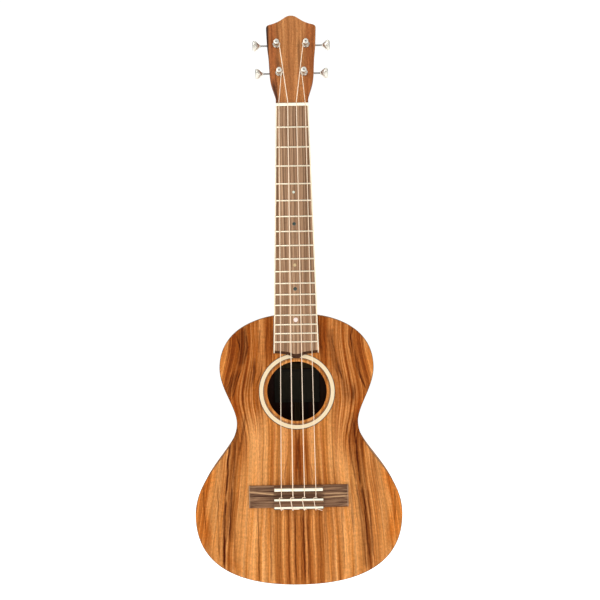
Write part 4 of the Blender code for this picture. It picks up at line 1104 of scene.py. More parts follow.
def make_veneer():
    """The head's face, with eased edges and the posts' holes."""
    half = [(HEAD_OUTLINE[0][0], 0.0004)] + head_outline(0.0006)
    outline = half + [(-u, v) for u, v in reversed(half[:-1])]
    round_edge = edge_round(0.0005, 3)
    rings = [[head_point(u, v, -VENEER_THICKNESS) for u, v in outline]]
    for inset, depth in reversed(round_edge):
        rings.append([head_point(u, max(v, 0.0004), -depth) for u, v in inset_outline(outline, inset)])
    veneer = loft(
        "head_face", rings, HEAD_VENEER, replaces=("headstock_veneer",), slot="head_veneer", sharp=50,
    )
    cut(veneer, post_holes())


# ---------------------------------------------------------------- fingerboard, frets and nut

BOARD_RISE = -FINGERBOARD.front - 0.0010  # the walnut's face stands this far above the top
BOARD_END = -0.2830
BOARD_HALF_AT_NUT = 0.0188
BOARD_HALF_AT_END = 0.0260
BINDING_WIDTH = 0.0013
CHAMFER = 0.0033
FOOT_GAP = 0.00005
BOARD_OGEE = (
    (0.0170, -0.2838, 0.0034), (0.0100, -0.2850, 0.0036), (0.0068, -0.2864, 0.0042),
    (0.0040, -0.2884, 0.0050), (0.0, -0.2891, 0.0053),
)  # (half width, height, length of the chamfer) across the end


def board_half(z):
    """The fingerboard's half width with its binding."""
    return BOARD_HALF_AT_NUT + (BOARD_HALF_AT_END - BOARD_HALF_AT_NUT) * z / BOARD_END


def fret_height(number):
    """A fret's z, by equal temperament."""
    return -SCALE_LENGTH * (1 - 2 ** (-number / 12))


def make_fingerboard():
    """The walnut board with its shaped end, slots for the frets and the dots let into it."""
    inner = BINDING_WIDTH
    side = (board_half(BOARD_END) - inner, BOARD_END, CHAMFER)
    bend = smooth_path([side, *BOARD_OGEE], 4)
    rings = []
    levels = ((-FOOT_GAP, 0.0), (-0.0016, 0.0), (-BOARD_RISE + 0.0004, 0.90), (-BOARD_RISE, 1.0))
    for y, share in levels:
        half = [(board_half(0) - inner, -FOOT_GAP)]
        for x, z, chamfer in bend:
            z += chamfer * share
            half.append((min(x, board_half(z) - inner), z))
        outline = half + [(-x, z) for x, z in reversed(half[:-1])]
        rings.append([(x, y, z) for x, z in outline])
    board = loft("walnut_board", rings, WALNUT, replaces=("fingerboard",), slot="walnut", sharp=25)
    ends = (-0.007, -BOARD_RISE + 0.001)
    cutters = []
    for _, place, radius, _ in DOTS:
        cutters.append([ring_of(radius + 0.00003, y, (0, 1, 0), (0, 0, place), 32) for y in ends])
    for number in range(1, FRET_COUNT + 1):
        z = fret_height(number)
        slot = ((-0.0070, z - 0.0003), (-0.0070, z + 0.0003), (-0.0035, z + 0.0003), (-0.0035, z - 0.0003))
        cutters.append([[(x, *point) for point in slot] for x in (-board_half(z), board_half(z))])
    cut(board, cutters)
    for name, place, radius, finish in DOTS:
        profile = ((radius, 0.0009), (radius, 0.00002), (radius - 0.00008, -0.00001))
        turned(name, profile, (0, 1, 0), (0, -BOARD_RISE, place), finish, 32, slot="cream_inlay")


def between_frets(number):
    return (fret_height(number) + fret_height(number - 1)) / 2


DOTS = (
    ("dot_5", between_frets(5), 0.0015, GREEN_PEARL),
    ("dot_7", between_frets(7), 0.0020, ABALONE),
    ("dot_10", between_frets(10), 0.0018, GOLD_PEARL),
    ("dot_12", between_frets(12), 0.0021, ABALONE),
    ("dot_15", between_frets(15), 0.0026, PEARL),
)


FRET_HALF = 0.00085
FRET_RISE = 0.0010


def make_frets():
    """Crowned wires with filed ends, set over the board's slots."""
    crown = []
    for i in range(9):
        angle = math.pi * i / 8
        crown.append((-FRET_HALF * math.cos(angle), FRET_RISE * math.sin(angle) ** 0.9))
    for number in range(1, FRET_COUNT + 1):
        z = fret_height(number)
        half = board_half(z) - 0.0007
        rings = []
        for x, height, spread in (
            (-half, 0.15, 0.8), (-half + 0.0003, 0.7, 0.95), (-half + 0.0007, 1.0, 1.0),
            (half - 0.0007, 1.0, 1.0), (half - 0.0003, 0.7, 0.95), (half, 0.15, 0.8),
        ):
            base = -BOARD_RISE - 0.00002
            ring = [(x, base - rise * height, z + dz * spread) for dz, rise in crown]
            rings.append(ring)
        loft(f"fret_{number}", rings, FRET_METAL, replaces=("fingerboard",), slot="gear_steel", sharp=50)


def make_bindings():
    """The pale strips down the board's sides, with eased upper edges."""
    edge = 0.0005
    levels = (
        (0.0, -FOOT_GAP, 0.0), (0.0, -0.0016, 0.0), (0.0, -BOARD_RISE + edge, 0.88),
        (edge * 0.3, -BOARD_RISE + edge * 0.3, 0.96), (edge, -BOARD_RISE, 1.0),
    )  # (inset, y, share of the chamfer)
    for side, hand in ((-1, "bass"), (1, "treble")):
        rings = []
        for inset, y, share in levels:
            end = BOARD_END + CHAMFER * share
            corners = [(board_half(-FOOT_GAP) - inset, -FOOT_GAP), (board_half(end) - inset, end)]
            corners += [(board_half(z) - BINDING_WIDTH + 0.00002, z) for z in (end, -FOOT_GAP)]
            rings.append([(side * x, y, z) for x, z in corners])
        loft(
            f"binding_strip_{hand}", rings, IVORY, replaces=(f"binding_{hand}",),
            slot="cream_inlay", sharp=60,
        )


STRING_X = {
    "g": (-0.0150, -0.0197), "c": (-0.0050, -0.0066), "e": (0.0050, 0.0066), "a": (0.0150, 0.0197),
}  # x at the nut and at the saddle
NUT_WIDTH = 0.0038


def make_nut():
    """The nut: a crest that falls towards the head, with a slot filed for each string."""
    crest = NUT.front
    profile = rounded([
        (0.00005, -0.00005), (0.00005, crest + 0.0002), (NUT_WIDTH * 0.45, crest),
        (NUT_WIDTH * 0.80, crest + 0.0006), (NUT_WIDTH, crest + 0.0024), (NUT_WIDTH, -0.00005),
    ], 0.0007, 4, True)
    ends = ((0.0, 0.90), (0.00015, 0.96), (0.0005, 1.0))
    places = [(-NUT.right + step, size) for step, size in ends]
    places += [(NUT.right - step, size) for step, size in reversed(ends)]
    nut = bone_bar("bone_nut", profile, Vector((NUT_WIDTH / 2, crest * 0.5)), places, "nut")
    open_top = -0.0095
    ends = ((-0.004, 0.0), (0.0085, 0.0009))  # (z, fall of the slot's floor)
    slots = []
    for name in STRING_NAMES:
        x = STRING_X[name][0]
        radius = STRING_RADIUS[name] + 0.00006
        floor = -STRING_RISE_AT_NUT + radius
        section = [(x - radius, open_top), (x - radius, floor - radius)]
        for i in range(1, 8):
            angle = math.pi * i / 8
            section.append((x - radius * math.cos(angle), floor - radius + radius * math.sin(angle)))
        section += [(x + radius, floor - radius), (x + radius, open_top)]
        slots.append([[(px, py + fall, z) for px, py in section] for z, fall in ends])
    cut(nut, slots)


# ---------------------------------------------------------------- bridge and saddle

BRIDGE_FRONT = BRIDGE.top
BRIDGE_BACK = BRIDGE.bottom
BRIDGE_HALF = BRIDGE.right
BLOCK_HALF = 0.0285
WING_BACK = -0.4604
TIE_STRIPS = {"front": (-0.4495, -0.4523), "rear": (-0.4585, -0.4612)}  # (top, bottom)
BRIDGE_POINTS = 80  # round each of the bridge's sections
STRIP_HALF = 0.0279


def spread_evenly(points, count):
    """Points evenly spaced along a broken line, both ends kept."""
    points = [Vector(point) for point in points]
    lengths = [0.0]
    for a, b in zip(points, points[1:]):
        lengths.append(lengths[-1] + (b - a).length)
    result = []
    segment = 0
    for i in range(count):
        target = lengths[-1] * i / (count - 1)
        while segment < len(points) - 2 and lengths[segment + 1] < target:
            segment += 1
        span = lengths[segment + 1] - lengths[segment]
        result.append(points[segment].lerp(points[segment + 1], min((target - lengths[segment]) / span, 1.0)))
    return result


def wing_section(rise):
    """A low crowned strip: points (z, y)."""
    base = -0.00005
    points = [(BRIDGE_FRONT, base), (BRIDGE_FRONT, -rise * 0.45)]
    for i in range(13):
        t = i / 12
        z = BRIDGE_FRONT + (WING_BACK - BRIDGE_FRONT) * (0.02 + 0.96 * t)
        points.append((z, -rise * (1 - 0.42 * abs(2 * t - 1) ** 5)))
    points += [(WING_BACK, -rise * 0.45), (WING_BACK, base)]
    return rounded(points, 0.0006, 2)


def block_section(size=1.0):
    """A ramp up to the saddle, a trough and the tie block: points (z, y)."""
    top = TIE_BLOCK_RISE
    base = -0.00005
    corners = [
        (BRIDGE_FRONT, base), (BRIDGE_FRONT, -0.0034), (-0.4362, -0.0068), (-0.4370, -0.0072),
        (-0.4422, -0.0072), (-0.4446, -0.0044), (-0.4492, -0.0044), (-0.4495, -top), (-0.4500, -top),
        (-0.4608, -top), (-0.4613, -top), (BRIDGE_BACK, -0.0032), (BRIDGE_BACK, base),
    ]
    middle = Vector(((BRIDGE_FRONT + BRIDGE_BACK) / 2, -0.003))
    scaled = []
    for point in rounded(corners, 0.0005, 3):
        above = point[1] < -0.001
        scaled.append(tuple(middle + (Vector(point) - middle) * size) if above else point)
    return scaled


WING_STEPS = (
    (BRIDGE_HALF, 0.0024), (BRIDGE_HALF - 0.0003, 0.0028), (BRIDGE_HALF - 0.0010, 0.0031),
    (0.0520, 0.0036), (0.0460, 0.0041), (0.0400, 0.0044), (0.0330, 0.0046),
    (BLOCK_HALF + 0.0006, 0.0047), (BLOCK_HALF + 0.0002, 0.0050),
)  # (x, rise)
BLOCK_STEPS = (
    (BLOCK_HALF, 0.975), (BLOCK_HALF - 0.0002, 0.992), (BLOCK_HALF - 0.0006, 1.0), (0.0, 1.0),
)  # (x, size)


def make_bridge():
    """Wings, ramp, saddle seat, trough and tie block, carved from one piece of walnut."""
    sections = [(x, wing_section(rise)) for x, rise in WING_STEPS]
    sections += [(x, block_section(size)) for x, size in BLOCK_STEPS]
    rings = [[(x, y, z) for z, y in spread_evenly(section, BRIDGE_POINTS)] for x, section in sections]
    rings += [[(-x, y, z) for x, y, z in ring] for ring in reversed(rings[:-1])]
    bridge = loft("walnut_bridge", rings, WALNUT_BRIDGE, replaces=("bridge",), slot="walnut", sharp=35)
    above, seat, clear = -0.02, -0.0034, 0.00005
    front, back, end = SADDLE.top + clear, SADDLE.bottom - clear, SADDLE.right + clear
    slot = ((front, above), (front, seat), (back, seat), (back, above))
    cutters = [[[(x, y, z) for z, y in slot] for x in (-end, end)]]
    for name in STRING_NAMES:
        start = (STRING_X[name][1], -TIE_HOLE_RISE, -0.4470)
        cutters.append([ring_of(0.0009, reach, (0, 0, -1), start, 20) for reach in (0.0, 0.0190)])
    low = TIE_BLOCK_RISE - 0.0012
    for where, (near, far) in TIE_STRIPS.items():
        start = near + 0.0020 * (where == "front")
        end = far - 0.0020 * (where == "rear")
        seat = ((start, -low), (end, -low), (end, above), (start, above))
        cutters.append([[(x, y, z) for z, y in seat] for x in (-0.04, 0.04)])
    cut(bridge, cutters)


def make_saddle():
    """The bone saddle: rounded crest and ends."""
    front, back, rise = SADDLE.top, SADDLE.bottom, -SADDLE.front
    profile = rounded([
        (front, -0.0035), (front, -rise + 0.0009), (front - 0.0008, -rise + 0.0001), (back + 0.0009, -rise),
        (back, -rise + 0.0010), (back, -0.0035),
    ], 0.0006, 4, True)
    ends = ((-1, 0.86), (-0.996, 0.95), (-0.985, 1.0), (0.985, 1.0), (0.996, 0.95), (1, 0.86))
    places = [(SADDLE.right * x, size) for x, size in ends]
    bone_bar("bone_saddle", profile, Vector(((front + back) / 2, -0.0075)), places, "saddle")


def make_tie_strips():
    """The cream strips let into the tie block's edges."""
    low, high = TIE_BLOCK_RISE - 0.00115, TIE_BLOCK_RISE
    for where, (near, far) in TIE_STRIPS.items():
        near, far = near - 0.0003, far + 0.0002
        profile = rounded([(near, -low), (near, -high), (far, -high), (far, -low)], 0.0005, 4, True)
        rings = [[(x, y, z) for z, y in profile] for x in (-STRIP_HALF, STRIP_HALF)]
        node = f"tie_strip_{where}"
        loft(f"cream_{node}", rings, BONE, replaces=(node,), slot="cream_inlay", sharp=50)


# ---------------------------------------------------------------- strings

WINDING_GAP = 0.00003
STRING_TAILS = {
    "g": (0.0024, -0.4616), "c": (0.0072, -0.4613), "e": (0.0020, -0.4618), "a": (0.0072, -0.4634),
}  # (reach sideways, height) of the cut end behind the tie block


def string_end(name):
    """Where the string meets its winding, beside the post."""
    side, _ = TUNERS[name]
    x, v = post_place(name)
    radius = STRING_RADIUS[name]
    beside = abs(x) - POST_WAIST_RADIUS - radius - WINDING_GAP
    return head_point(side * beside, v, WINDING_RISE)


def make_strings():
    """Each string, from its hole in the tie block over the saddle and nut to its post, and its knot."""
    for name in STRING_NAMES:
        x_nut, x = STRING_X[name]
        radius = STRING_RADIUS[name]
        over = -TIE_BLOCK_RISE - radius - 0.00003
        hole = -TIE_HOLE_RISE
        crest = -STRING_RISE_AT_SADDLE
        saddle_z = SADDLE.middle.z
        tail, tail_end = STRING_TAILS[name]
        knot = [
            (x + tail, over + 0.0003, tail_end), (x + 0.55 * tail, over, 0.5 * (tail_end - 0.4612)),
            (x + 0.0006, over - 0.1 * radius, -0.4612), (x - 0.0009, over - 0.2 * radius, -0.4606),
            (x - 0.0012, over, -0.4590), (x - 0.0019, over, -0.4545),
            (x - 0.0025, over, -0.4502), (x - 0.0025, over + 0.0006, -0.4489),
            (x - 0.0018, -0.0078, -0.44855), (x - 0.0006, -0.0072 - radius, -0.4484),
            (x + 0.0006, -0.0070 - radius, -0.4485), (x + 0.0011, -0.0064, -0.4487),
            (x + 0.0008, -0.0054, -0.4488), (x + 0.0002, -0.0051, -0.4488),
        ]
        main = [
            (x - 0.0011, over - 0.0001, -0.4603), (x - 0.0009, over + 0.0003, -0.4615),
            (x - 0.0006, -0.0083, -0.4622), (x - 0.0003, -0.0072, -0.4627),
            (x - 0.0001, hole - 0.0003, -0.4630), (x, hole, -0.4622), (x, hole, -0.4600), (x, hole, -0.4510),
            (x, hole - 0.0003, -0.4487), (x, crest + 0.0016, saddle_z - 0.0023),
            (x, crest + 0.0002, saddle_z - 0.0007), (x, crest + 0.0001, saddle_z + 0.0010),
        ]
        start, nut_edge = Vector(main[-1]), Vector((x_nut, -STRING_RISE_AT_NUT, 0.0))
        straight = [start.lerp(nut_edge, i / 24) for i in range(1, 25)]
        leave = Vector((x_nut, -STRING_RISE_AT_NUT + 0.0006, NUT_WIDTH + 0.0012))
        over_nut = smooth_path([
            straight[-1], (x_nut, -STRING_RISE_AT_NUT - 0.00003, NUT_WIDTH * 0.30),
            (x_nut, -STRING_RISE_AT_NUT + 0.0001, NUT_WIDTH * 0.62), leave,
        ], 4)
        last = [leave.lerp(string_end(name), i / 8) for i in range(9)]
        path = smooth_path(main, 5) + straight + over_nut[1:-1] + last
        tube(f"string_run_{name}", path, radius, replaces=(f"string_{name}",))
        tube(f"string_knot_{name}", smooth_path(knot, 5), radius)


make_neck()
make_veneer()
make_fingerboard()
make_frets()
make_bindings()
make_nut()
make_bridge()
make_saddle()
make_tie_strips()
make_strings()


# ---------------------------------------------------------------- tuners

HOUSING_A = (-0.0062, 0.0094)
HOUSING_V = (-0.0062, 0.0098)
HOUSING_BACK = -0.0089
COVER_THICKNESS = 0.0010
CLEARANCE = 0.00008
COLLAR_END = 0.0112
GEAR_LEVEL = -0.0052
WORM_OFFSET = 0.0060
SHAFT_RADIUS = 0.00105
WORM_ROOT_RADIUS = 0.0014
WORM_CREST_RADIUS = 0.0025
WHEEL_RADIUS = 0.0040
WHEEL_TEETH = 14
BUTTON_START = 0.0189
BUTTON_SECTIONS = (
    (0.0000, 0.0019, 0.0019), (0.0012, 0.0021, 0.0020), (0.0030, 0.0038, 0.0028),
    (0.0052, 0.0055, 0.0034), (0.0072, 0.0062, 0.0036), (0.0086, 0.0058, 0.0033),
    (0.0093, 0.0045, 0.0024),
)  # (distance outwards, half width, half thickness)
BUTTON_TURN = {"g": 30.0, "c": 20.0, "e": 12.0, "a": 24.0}


def tuner_matrix(name):
    """From a tuner's own frame, with a across the head, v along it and w out of it, to the instrument's."""
    x, v = post_place(name)
    foot = Matrix.Translation(head_point(x, v, -HEAD_THICKNESS))
    return foot @ Matrix.Rotation(math.pi / 2 - HEAD_TILT, 4, "X")


def in_tuner(name, rings):
    """Rings given in a tuner's own frame, moved to their place."""
    matrix = tuner_matrix(name)
    return [[matrix @ Vector(point) for point in ring] for ring in rings]


def tuner_loft(piece, name, rings, material, closed=False, **how):
    return loft(f"{piece}_{name}", in_tuner(name, rings), material, closed, **how)


def tuner_turned(piece, name, profile, axis, place, material, count=32, closed=False, **how):
    rings = [ring_of(radius, reach, axis, place, count) for radius, reach in profile]
    return tuner_loft(piece, name, rings, material, closed, **how)


def box_ring(low, high, corner, w, steps=6):
    """A rounded rectangle (a, v) at a level w."""
    corners = [(high[0], high[1]), (low[0], high[1]), (low[0], low[1]), (high[0], low[1])]
    return [(a, v, w) for a, v in rounded(corners, corner, steps, True)]


def case_ring(side, inset, w):
    """The case's outline at a level w, moved inwards by inset."""
    low = (HOUSING_A[0] + inset, HOUSING_V[0] + inset)
    high = (HOUSING_A[1] - inset, HOUSING_V[1] - inset)
    return [(side * a, v, level) for a, v, level in box_ring(low, high, max(0.0030 - inset, 0.0008), w)]


def make_housing(name):
    """The cast case with its bevels, hollow for the gears, with a collar and a screwed lug."""
    side, _ = TUNERS[name]
    up, out = (0, 0, 1), (1, 0, 0)
    worm = (0, WORM_OFFSET, GEAR_LEVEL)
    top = -0.00005
    levels = [(0.0, HOUSING_BACK - 0.0002), (0.0, top - 0.0010), (0.0003, top - 0.0003), (0.0010, top)]
    rings = [case_ring(side, inset, w) for inset, w in levels]
    case = tuner_loft(
        "tuner_case", name, rings, CHROME, replaces=(f"tuner_housing_{name}",), slot="chrome", sharp=50,
    )
    floor = -0.0019
    mouth = HOUSING_BACK - 0.003
    low, high = (-0.0049, WORM_OFFSET - 0.0029), (0.0049, WORM_OFFSET + 0.0029)
    bore = SHAFT_RADIUS + CLEARANCE
    rooms = (
        [ring_of(0.0048, w, up, (0, 0, 0), 40) for w in (mouth, floor)],
        [box_ring(low, high, 0.0006, w, 2) for w in (mouth, floor)],
        [ring_of(POST_RADIUS + CLEARANCE, w, up, (0, 0, 0), 32) for w in (floor - 0.002, 0.004)],
        [ring_of(bore, a, out, worm, 24) for a in sorted((side * -0.0058, side * 0.02))],
    )
    for room in rooms:
        cut(case, [in_tuner(name, room)])
    collar = (
        (bore, HOUSING_A[1] - 0.0006), (0.0030, HOUSING_A[1] - 0.0006), (0.0030, HOUSING_A[1] + 0.0003),
        (0.0027, HOUSING_A[1] + 0.0006), (0.0022, HOUSING_A[1] + 0.0009), (0.0021, COLLAR_END - 0.0002),
        (0.0019, COLLAR_END), (bore, COLLAR_END),
    )
    collar = [(radius, side * reach) for radius, reach in collar]
    tuner_turned("tuner_collar", name, collar, out, worm, CHROME, 32, True, slot="chrome")
    low, high = (-0.0024, HOUSING_V[0] - 0.0040), (0.0024, HOUSING_V[0] + 0.0006)
    lug = []
    for inset, w in ((0.0, -0.00005), (0.0, -0.0010), (0.0003, -0.0013)):
        lug.append(box_ring((low[0] + inset, low[1] + inset), (high[0] - inset, high[1]), 0.0018, w))
    tuner_loft("tuner_lug", name, lug, CHROME, slot="chrome", sharp=50)
    screw("tuner_lug_screw", name, (0.0, HOUSING_V[0] - 0.0020, -0.0013), 0.0013)


def screw(piece, name, place, radius):
    """A domed screw head with a cross slot, standing on a tuner's back."""
    height = 0.0006
    axis = Vector((0, 0, -1))
    profile = (
        (radius * 0.9, -0.00002), (radius, 0.0), (radius, height * 0.25), (radius * 0.85, height * 0.7),
        (radius * 0.5, height * 0.95), (radius * 0.15, height),
    )
    head = tuner_turned(piece, name, profile, axis, place, CHROME, 24, slot="chrome", sharp=50)
    across = axis.orthogonal().normalized()
    for one in (across, axis.cross(across)):
        length, width = one * (radius * 0.65), axis.cross(one) * (radius * 0.13)
        rings = []
        for depth in (height * 0.45, height * 1.5):
            middle = Vector(place) + axis * depth
            rings.append([middle + length * a + width * b for a, b in ((-1, -1), (1, -1), (1, 1), (-1, 1))])
        cut(head, [in_tuner(name, rings)])


def make_cover(name):
    """The back plate: bevelled, with a raised boss over the post's end and one screw."""
    side, _ = TUNERS[name]
    near = HOUSING_BACK - 0.00022
    far = HOUSING_BACK - 0.0003 - COVER_THICKNESS
    levels = [
        (0.0002, near), (0.0, near - 0.0001), (0.0, far + 0.0006), (0.0004, far + 0.0002), (0.0012, far),
        (0.0030, far),
    ]
    rings = [case_ring(side, inset, w) for inset, w in levels]
    tuner_loft("tuner_plate", name, rings, CHROME, replaces=(f"tuner_cover_{name}",), slot="chrome", sharp=50)
    boss = ((0.0034, far + 0.0001), (0.0034, far - 0.0003), (0.0031, far - 0.0006), (0.0012, far - 0.0007))
    tuner_turned("tuner_boss", name, boss, (0, 0, 1), (0, 0, 0), CHROME, 40, slot="chrome", sharp=50)
    screw("tuner_plate_screw", name, (side * 0.0068, 0.0072, far), 0.0014)


def make_bushing(name):
    """A washer and a chamfered hexagon on the head's face, with the sleeve through the head."""
    face = HEAD_THICKNESS
    bore = POST_RADIUS + CLEARANCE
    up, foot = (0, 0, 1), (0, 0, 0)
    sleeve = ((bore, 0.0015), (SLEEVE_RADIUS, 0.0015), (SLEEVE_RADIUS, face + 0.0004), (bore, face + 0.0004))
    tuner_turned("post_sleeve", name, sleeve, up, foot, CHROME, 32, True, slot="chrome", sharp=50)
    inner, outer, low, high = SLEEVE_RADIUS + 0.0001, WASHER_RADIUS, face + 0.00005, face + 0.0006
    washer = rounded([(inner, low), (outer, low), (outer, high), (inner, high)], 0.0002, 3, True)
    # The washer is the darker gear steel, as painted shade beneath the post
    tuner_turned("post_washer", name, washer, up, foot, GEAR_STEEL, 48, True, slot="chrome", sharp=50)
    low, high, sides = face + 0.00065, face + 0.0023, 48
    rings = []
    for bevel, w in ((1.12, low), (1.12, high - 0.0004), (0.97, high)):
        ring = []
        for i, (c, s) in enumerate(round_trip(sides)):
            wedge = (2 * math.pi * i / sides % (math.pi / 3)) - math.pi / 6
            radius = min(HEXAGON_FLAT / math.cos(wedge), HEXAGON_FLAT * bevel)
            ring.append((radius * c, radius * s, w))
        rings.append(ring)
    rings += [[(bore * c, bore * s, w) for c, s in round_trip(sides)] for w in (high, low)]
    tuner_loft(
        "post_hexagon", name, rings, SATIN_CHROME, True, replaces=(f"post_bushing_{name}",),
        slot="chrome", sharp=25,
    )


def make_post(name):
    """The string post: stub for its wheel, waist for the string, cross hole, wider top and a socket in it."""
    face = HEAD_THICKNESS
    top = face + 0.0103
    edge = POST_TOP_RADIUS
    up, foot = (0, 0, 1), (0, 0, 0)
    profile = [(0.0015, -0.0080), (0.0015, -0.0034), (POST_RADIUS, -0.0034), (POST_RADIUS, face + 0.0030)]
    for i in range(1, 12):
        t = i / 12
        waist = (POST_RADIUS - POST_WAIST_RADIUS) * math.sin(math.pi * t) ** 0.4
        profile.append((POST_RADIUS - waist, face + 0.0030 + 0.0060 * t))
    profile += [
        (edge, face + 0.0090), (edge, top - 0.0004), (edge - 0.00012, top - 0.0001), (edge - 0.0004, top),
        (0.0012, top), (0.0011, top - 0.0001), (0.0011, top - 0.0012), (0.0004, top - 0.0012),
    ]
    post = tuner_turned(
        "winding_post", name, profile, up, foot, SATIN_CHROME, 48, body=f"post_{name}",
        replaces=(f"string_post_{name}",), slot="chrome", sharp=35,
    )
    centre = (0, 0, face + CROSS_HOLE_RISE)
    hole = [ring_of(0.0007, reach, (0, 1, 0), centre, 20) for reach in (-0.004, 0.004)]
    cut(post, [in_tuner(name, hole)])
    # The socket is lined with the darker gear steel, as painted shade in its recess
    socket = ((0.0009, top - 0.00115), (0.0010, top - 0.0010), (0.0010, top - 0.0004), (0.0009, top - 0.0003))
    tuner_turned(
        "post_socket", name, socket, up, foot, GEAR_STEEL, 24, body=f"post_{name}", slot="gear_steel",
    )


def make_winding(name):
    """The string's turns round the waist of its post, its end through the hole."""
    side, _ = TUNERS[name]
    radius = STRING_RADIUS[name]
    turn_radius = POST_WAIST_RADIUS + radius + WINDING_GAP
    turns, steps = 2.5, 24
    start = HEAD_THICKNESS + WINDING_RISE
    fall = 2.15 * radius / steps
    path = []
    for i in range(int(turns * steps) + 1):
        angle = 2 * math.pi * i / steps
        path.append((-side * turn_radius * math.cos(angle), turn_radius * math.sin(angle), start - fall * i))
    rise = HEAD_THICKNESS + CROSS_HOLE_RISE
    tail = [
        (0.0001, -0.0022, rise), (0.0, 0.0, rise), (0.0, 0.0026, rise),
        (side * 0.0004, 0.0046, rise + 0.0003),
    ]
    # The turns and the end take nylon darkened as painted shade
    for piece, route in (("winding", path), ("winding_end", smooth_path(tail, 5))):
        rings = tube_rings(route, min(radius, 0.0005) if piece == "winding_end" else radius)
        tuner_loft(piece, name, rings, SHADED_NYLON, body=f"post_{name}", slot="nylon", sharp=80)


def make_worm_shaft(name):
    """The knob's shaft with its single-start worm, as fine as the frame's, with a smoother thread."""
    side, _ = TUNERS[name]
    lead = 2 * math.pi * WHEEL_RADIUS / WHEEL_TEETH
    root, crest = WORM_ROOT_RADIUS, WORM_CREST_RADIUS
    sides = 32

    def ring_at(reach, radius_at):
        ring = []
        for i, (c, s) in enumerate(round_trip(sides)):
            radius = radius_at(i / sides)
            ring.append((side * reach, WORM_OFFSET + radius * c, GEAR_LEVEL + radius * s))
        return ring

    def circle(radius, reach):
        return ring_at(reach, lambda _: radius)

    rings = [circle(SHAFT_RADIUS, -0.0056), circle(SHAFT_RADIUS, -0.0046), circle(root, -0.0046)]
    for k in range(-24, 25):
        turns = k / 16

        def thread(share):
            away = abs((turns - share) - round(turns - share)) * lead
            return crest - (crest - root) * min(max((away - 0.0002) / 0.0003, 0.0), 1.0)

        rings.append(ring_at(turns * lead, thread))
    rings += [circle(root, 0.0046), circle(SHAFT_RADIUS, 0.0046), circle(SHAFT_RADIUS, BUTTON_START + 0.0050)]
    tuner_loft(
        "worm", name, rings, GEAR_STEEL, body=f"knob_{name}", replaces=(f"worm_shaft_{name}",),
        slot="gear_steel",
    )


def make_button(name):
    """The metal knob: a collared neck that flares into a flattened, softly squared paddle."""
    side, _ = TUNERS[name]
    turn = math.radians(BUTTON_TURN[name])
    bore = SHAFT_RADIUS + 0.00005
    end = BUTTON_SECTIONS[-1][0]
    sections = [(0.0050, bore, bore), (0.0, bore, bore), *smooth_path(BUTTON_SECTIONS, 5)]
    sections += [(end, 0.0030, 0.0015), (0.0090, 0.0022, 0.0012)]
    rings = []
    for reach, half, thin in sections:
        power = 1.0 if half <= bore else 0.85
        out = side * (BUTTON_START + min(reach, end))
        ring = []
        for c, s in round_trip(48):
            across = half * math.copysign(abs(c) ** power, c)
            deep = thin * math.copysign(abs(s) ** power, s)
            y = across * math.cos(turn) - deep * math.sin(turn)
            z = across * math.sin(turn) + deep * math.cos(turn)
            ring.append((out, WORM_OFFSET + y, GEAR_LEVEL + z))
        rings.append(ring)
    tuner_loft(
        "knob_button", name, rings, SATIN_CHROME, body=f"knob_{name}", replaces=(f"tuner_button_{name}",),
        slot="chrome", sharp=60,
    )


for tuner in STRING_NAMES:
    make_housing(tuner)
    make_cover(tuner)
    make_bushing(tuner)
    make_post(tuner)
    make_winding(tuner)
    make_worm_shaft(tuner)
    make_button(tuner)


# ---------------------------------------------------------------- frame pieces that stay as they are

def finish_frame_nodes():
    """Materials for the CAD nodes that are shown as they are."""
    # The blocks and braces inside take woods darkened as painted shade
    finishes = dict.fromkeys(("neck_block", "tail_block", "bridge_plate"), SHADED_MAHOGANY)
    for brace in ("top_brace_upper", "top_brace_lower", "back_brace_upper", "back_brace_lower"):
        finishes[brace] = SHADED_SPRUCE
    finishes["fan_brace_bass"] = finishes["fan_brace_treble"] = SHADED_SPRUCE
    for name in STRING_NAMES:
        finishes[f"worm_wheel_{name}"] = GEAR_STEEL
    for node, finish in finishes.items():
        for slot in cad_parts[node].material_slots:
            slot.material = finish


finish_frame_nodes()


# ---------------------------------------------------------------- stage, light and camera

def make_stage():
    """A plain pale floor under the instrument, wide enough to meet the background."""
    half = 12.0
    level = cad_box[0][2] - 0.10
    corners = [(half * x, half * y, level) for x, y in ((-1, -1), (1, -1), (1, 1), (-1, 1))]
    mesh = bpy.data.meshes.new("floor")
    mesh.from_pydata(corners, [], [(0, 1, 2, 3)])
    r = Recipe("floor")
    x, y, _ = r.millimetres()
    cloud = r.noise(r.join(r.times(x, 0.002), r.times(y, 0.002), 0.0), 2.0)
    r.set(Base_Color=r.shade(tint(250, 250, 249), cloud, 0.99, 1.01), Roughness=0.8)
    r.set(Emission_Color=(1.0, 1.0, 1.0, 1.0), Emission_Strength=0.72)
    mesh.materials.append(r.material)
    floor = bpy.data.objects.new("floor", mesh)
    bpy.context.scene.collection.objects.link(floor)


def area_light(name, place, target, size, power):
    """A rectangular lamp that faces a target."""
    light = bpy.data.lights.new(name, "AREA")
    light.shape = "RECTANGLE"
    light.size, light.size_y = size
    light.energy = power
    lamp = bpy.data.objects.new(name, light)
    bpy.context.scene.collection.objects.link(lamp)
    lamp.location = place
    lamp.rotation_euler = (Vector(target) - Vector(place)).to_track_quat("-Z", "Y").to_euler()


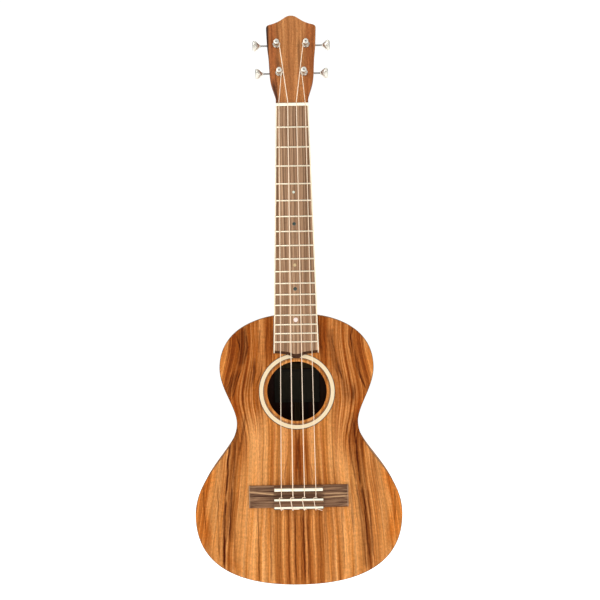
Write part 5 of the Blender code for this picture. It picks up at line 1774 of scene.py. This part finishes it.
def make_lights():
    """Soft light from the left and right, above and behind, and a small one for the head."""
    middle = (0.0, 0.0, -0.25)
    area_light("key", (-1.3, -1.9, 1.1), middle, (1.4, 1.4), 20)
    area_light("fill", (1.9, -1.6, 0.2), middle, (1.6, 1.8), 11)
    area_light("front", (0.0, -2.1, 1.02), (0.0, 0.0, 0.07), (1.5, 0.55), 4)
    area_light("top", (0.0, -0.4, 2.0), middle, (2.0, 1.2), 12)
    area_light("rim", (0.6, 1.9, 0.9), middle, (1.6, 1.2), 12)


STUDIO_GREYS = ((0.0, 0.62), (0.36, 0.50), (0.46, 0.16), (0.52, 0.30), (0.62, 0.95), (1.0, 1.0))  # upwards


def make_world():
    """White to the camera, and to everything else a soft studio: bright above, darker at the sides."""
    world = bpy.data.worlds.new("studio")
    world.use_nodes = True
    w = Nodes(world.node_tree)
    w.tree.nodes.clear()

    def background(colour, strength):
        node = w.add("ShaderNodeBackground")
        w.feed(node.inputs[0], colour)
        node.inputs[1].default_value = strength
        return node.outputs[0]

    split = w.add("ShaderNodeSeparateXYZ")
    w.feed(split.inputs[0], w.add("ShaderNodeTexCoord").outputs["Generated"])
    height = w.fit(split.outputs[2], -1.0, 1.0, smooth=False)
    studio = w.ramp(height, *((place, (grey, grey, grey, 1.0)) for place, grey in STUDIO_GREYS))
    choice = w.add("ShaderNodeMixShader")
    w.feed(choice.inputs[0], w.add("ShaderNodeLightPath").outputs["Is Camera Ray"])
    w.feed(choice.inputs[1], background(studio, 0.38))
    w.feed(choice.inputs[2], background((1.0, 1.0, 1.0, 1.0), 1.05))
    w.feed(w.add("ShaderNodeOutputWorld").inputs[0], choice.outputs[0])
    bpy.context.scene.world = world


CAMERA_PLACE = (0.0053, -1.8065, -0.2224)
CAMERA_ROLL = math.radians(0.975)


def make_camera():
    """Level and square to the instrument, and rolled a little so that the head leans to the left."""
    camera = bpy.data.objects.new("camera", bpy.data.cameras.new("camera"))
    bpy.context.scene.collection.objects.link(camera)
    camera.data.lens = 94.37
    camera.data.sensor_width = 36.0
    right = Vector((math.cos(CAMERA_ROLL), 0.0, -math.sin(CAMERA_ROLL)))
    up = Vector((math.sin(CAMERA_ROLL), 0.0, math.cos(CAMERA_ROLL)))
    turn = Matrix((right, up, right.cross(up))).transposed().to_4x4()
    camera.matrix_world = Matrix.Translation(CAMERA_PLACE) @ turn
    bpy.context.scene.camera = camera


make_stage()
make_lights()
make_world()
make_camera()
bpy.context.scene.view_settings.view_transform = "Standard"
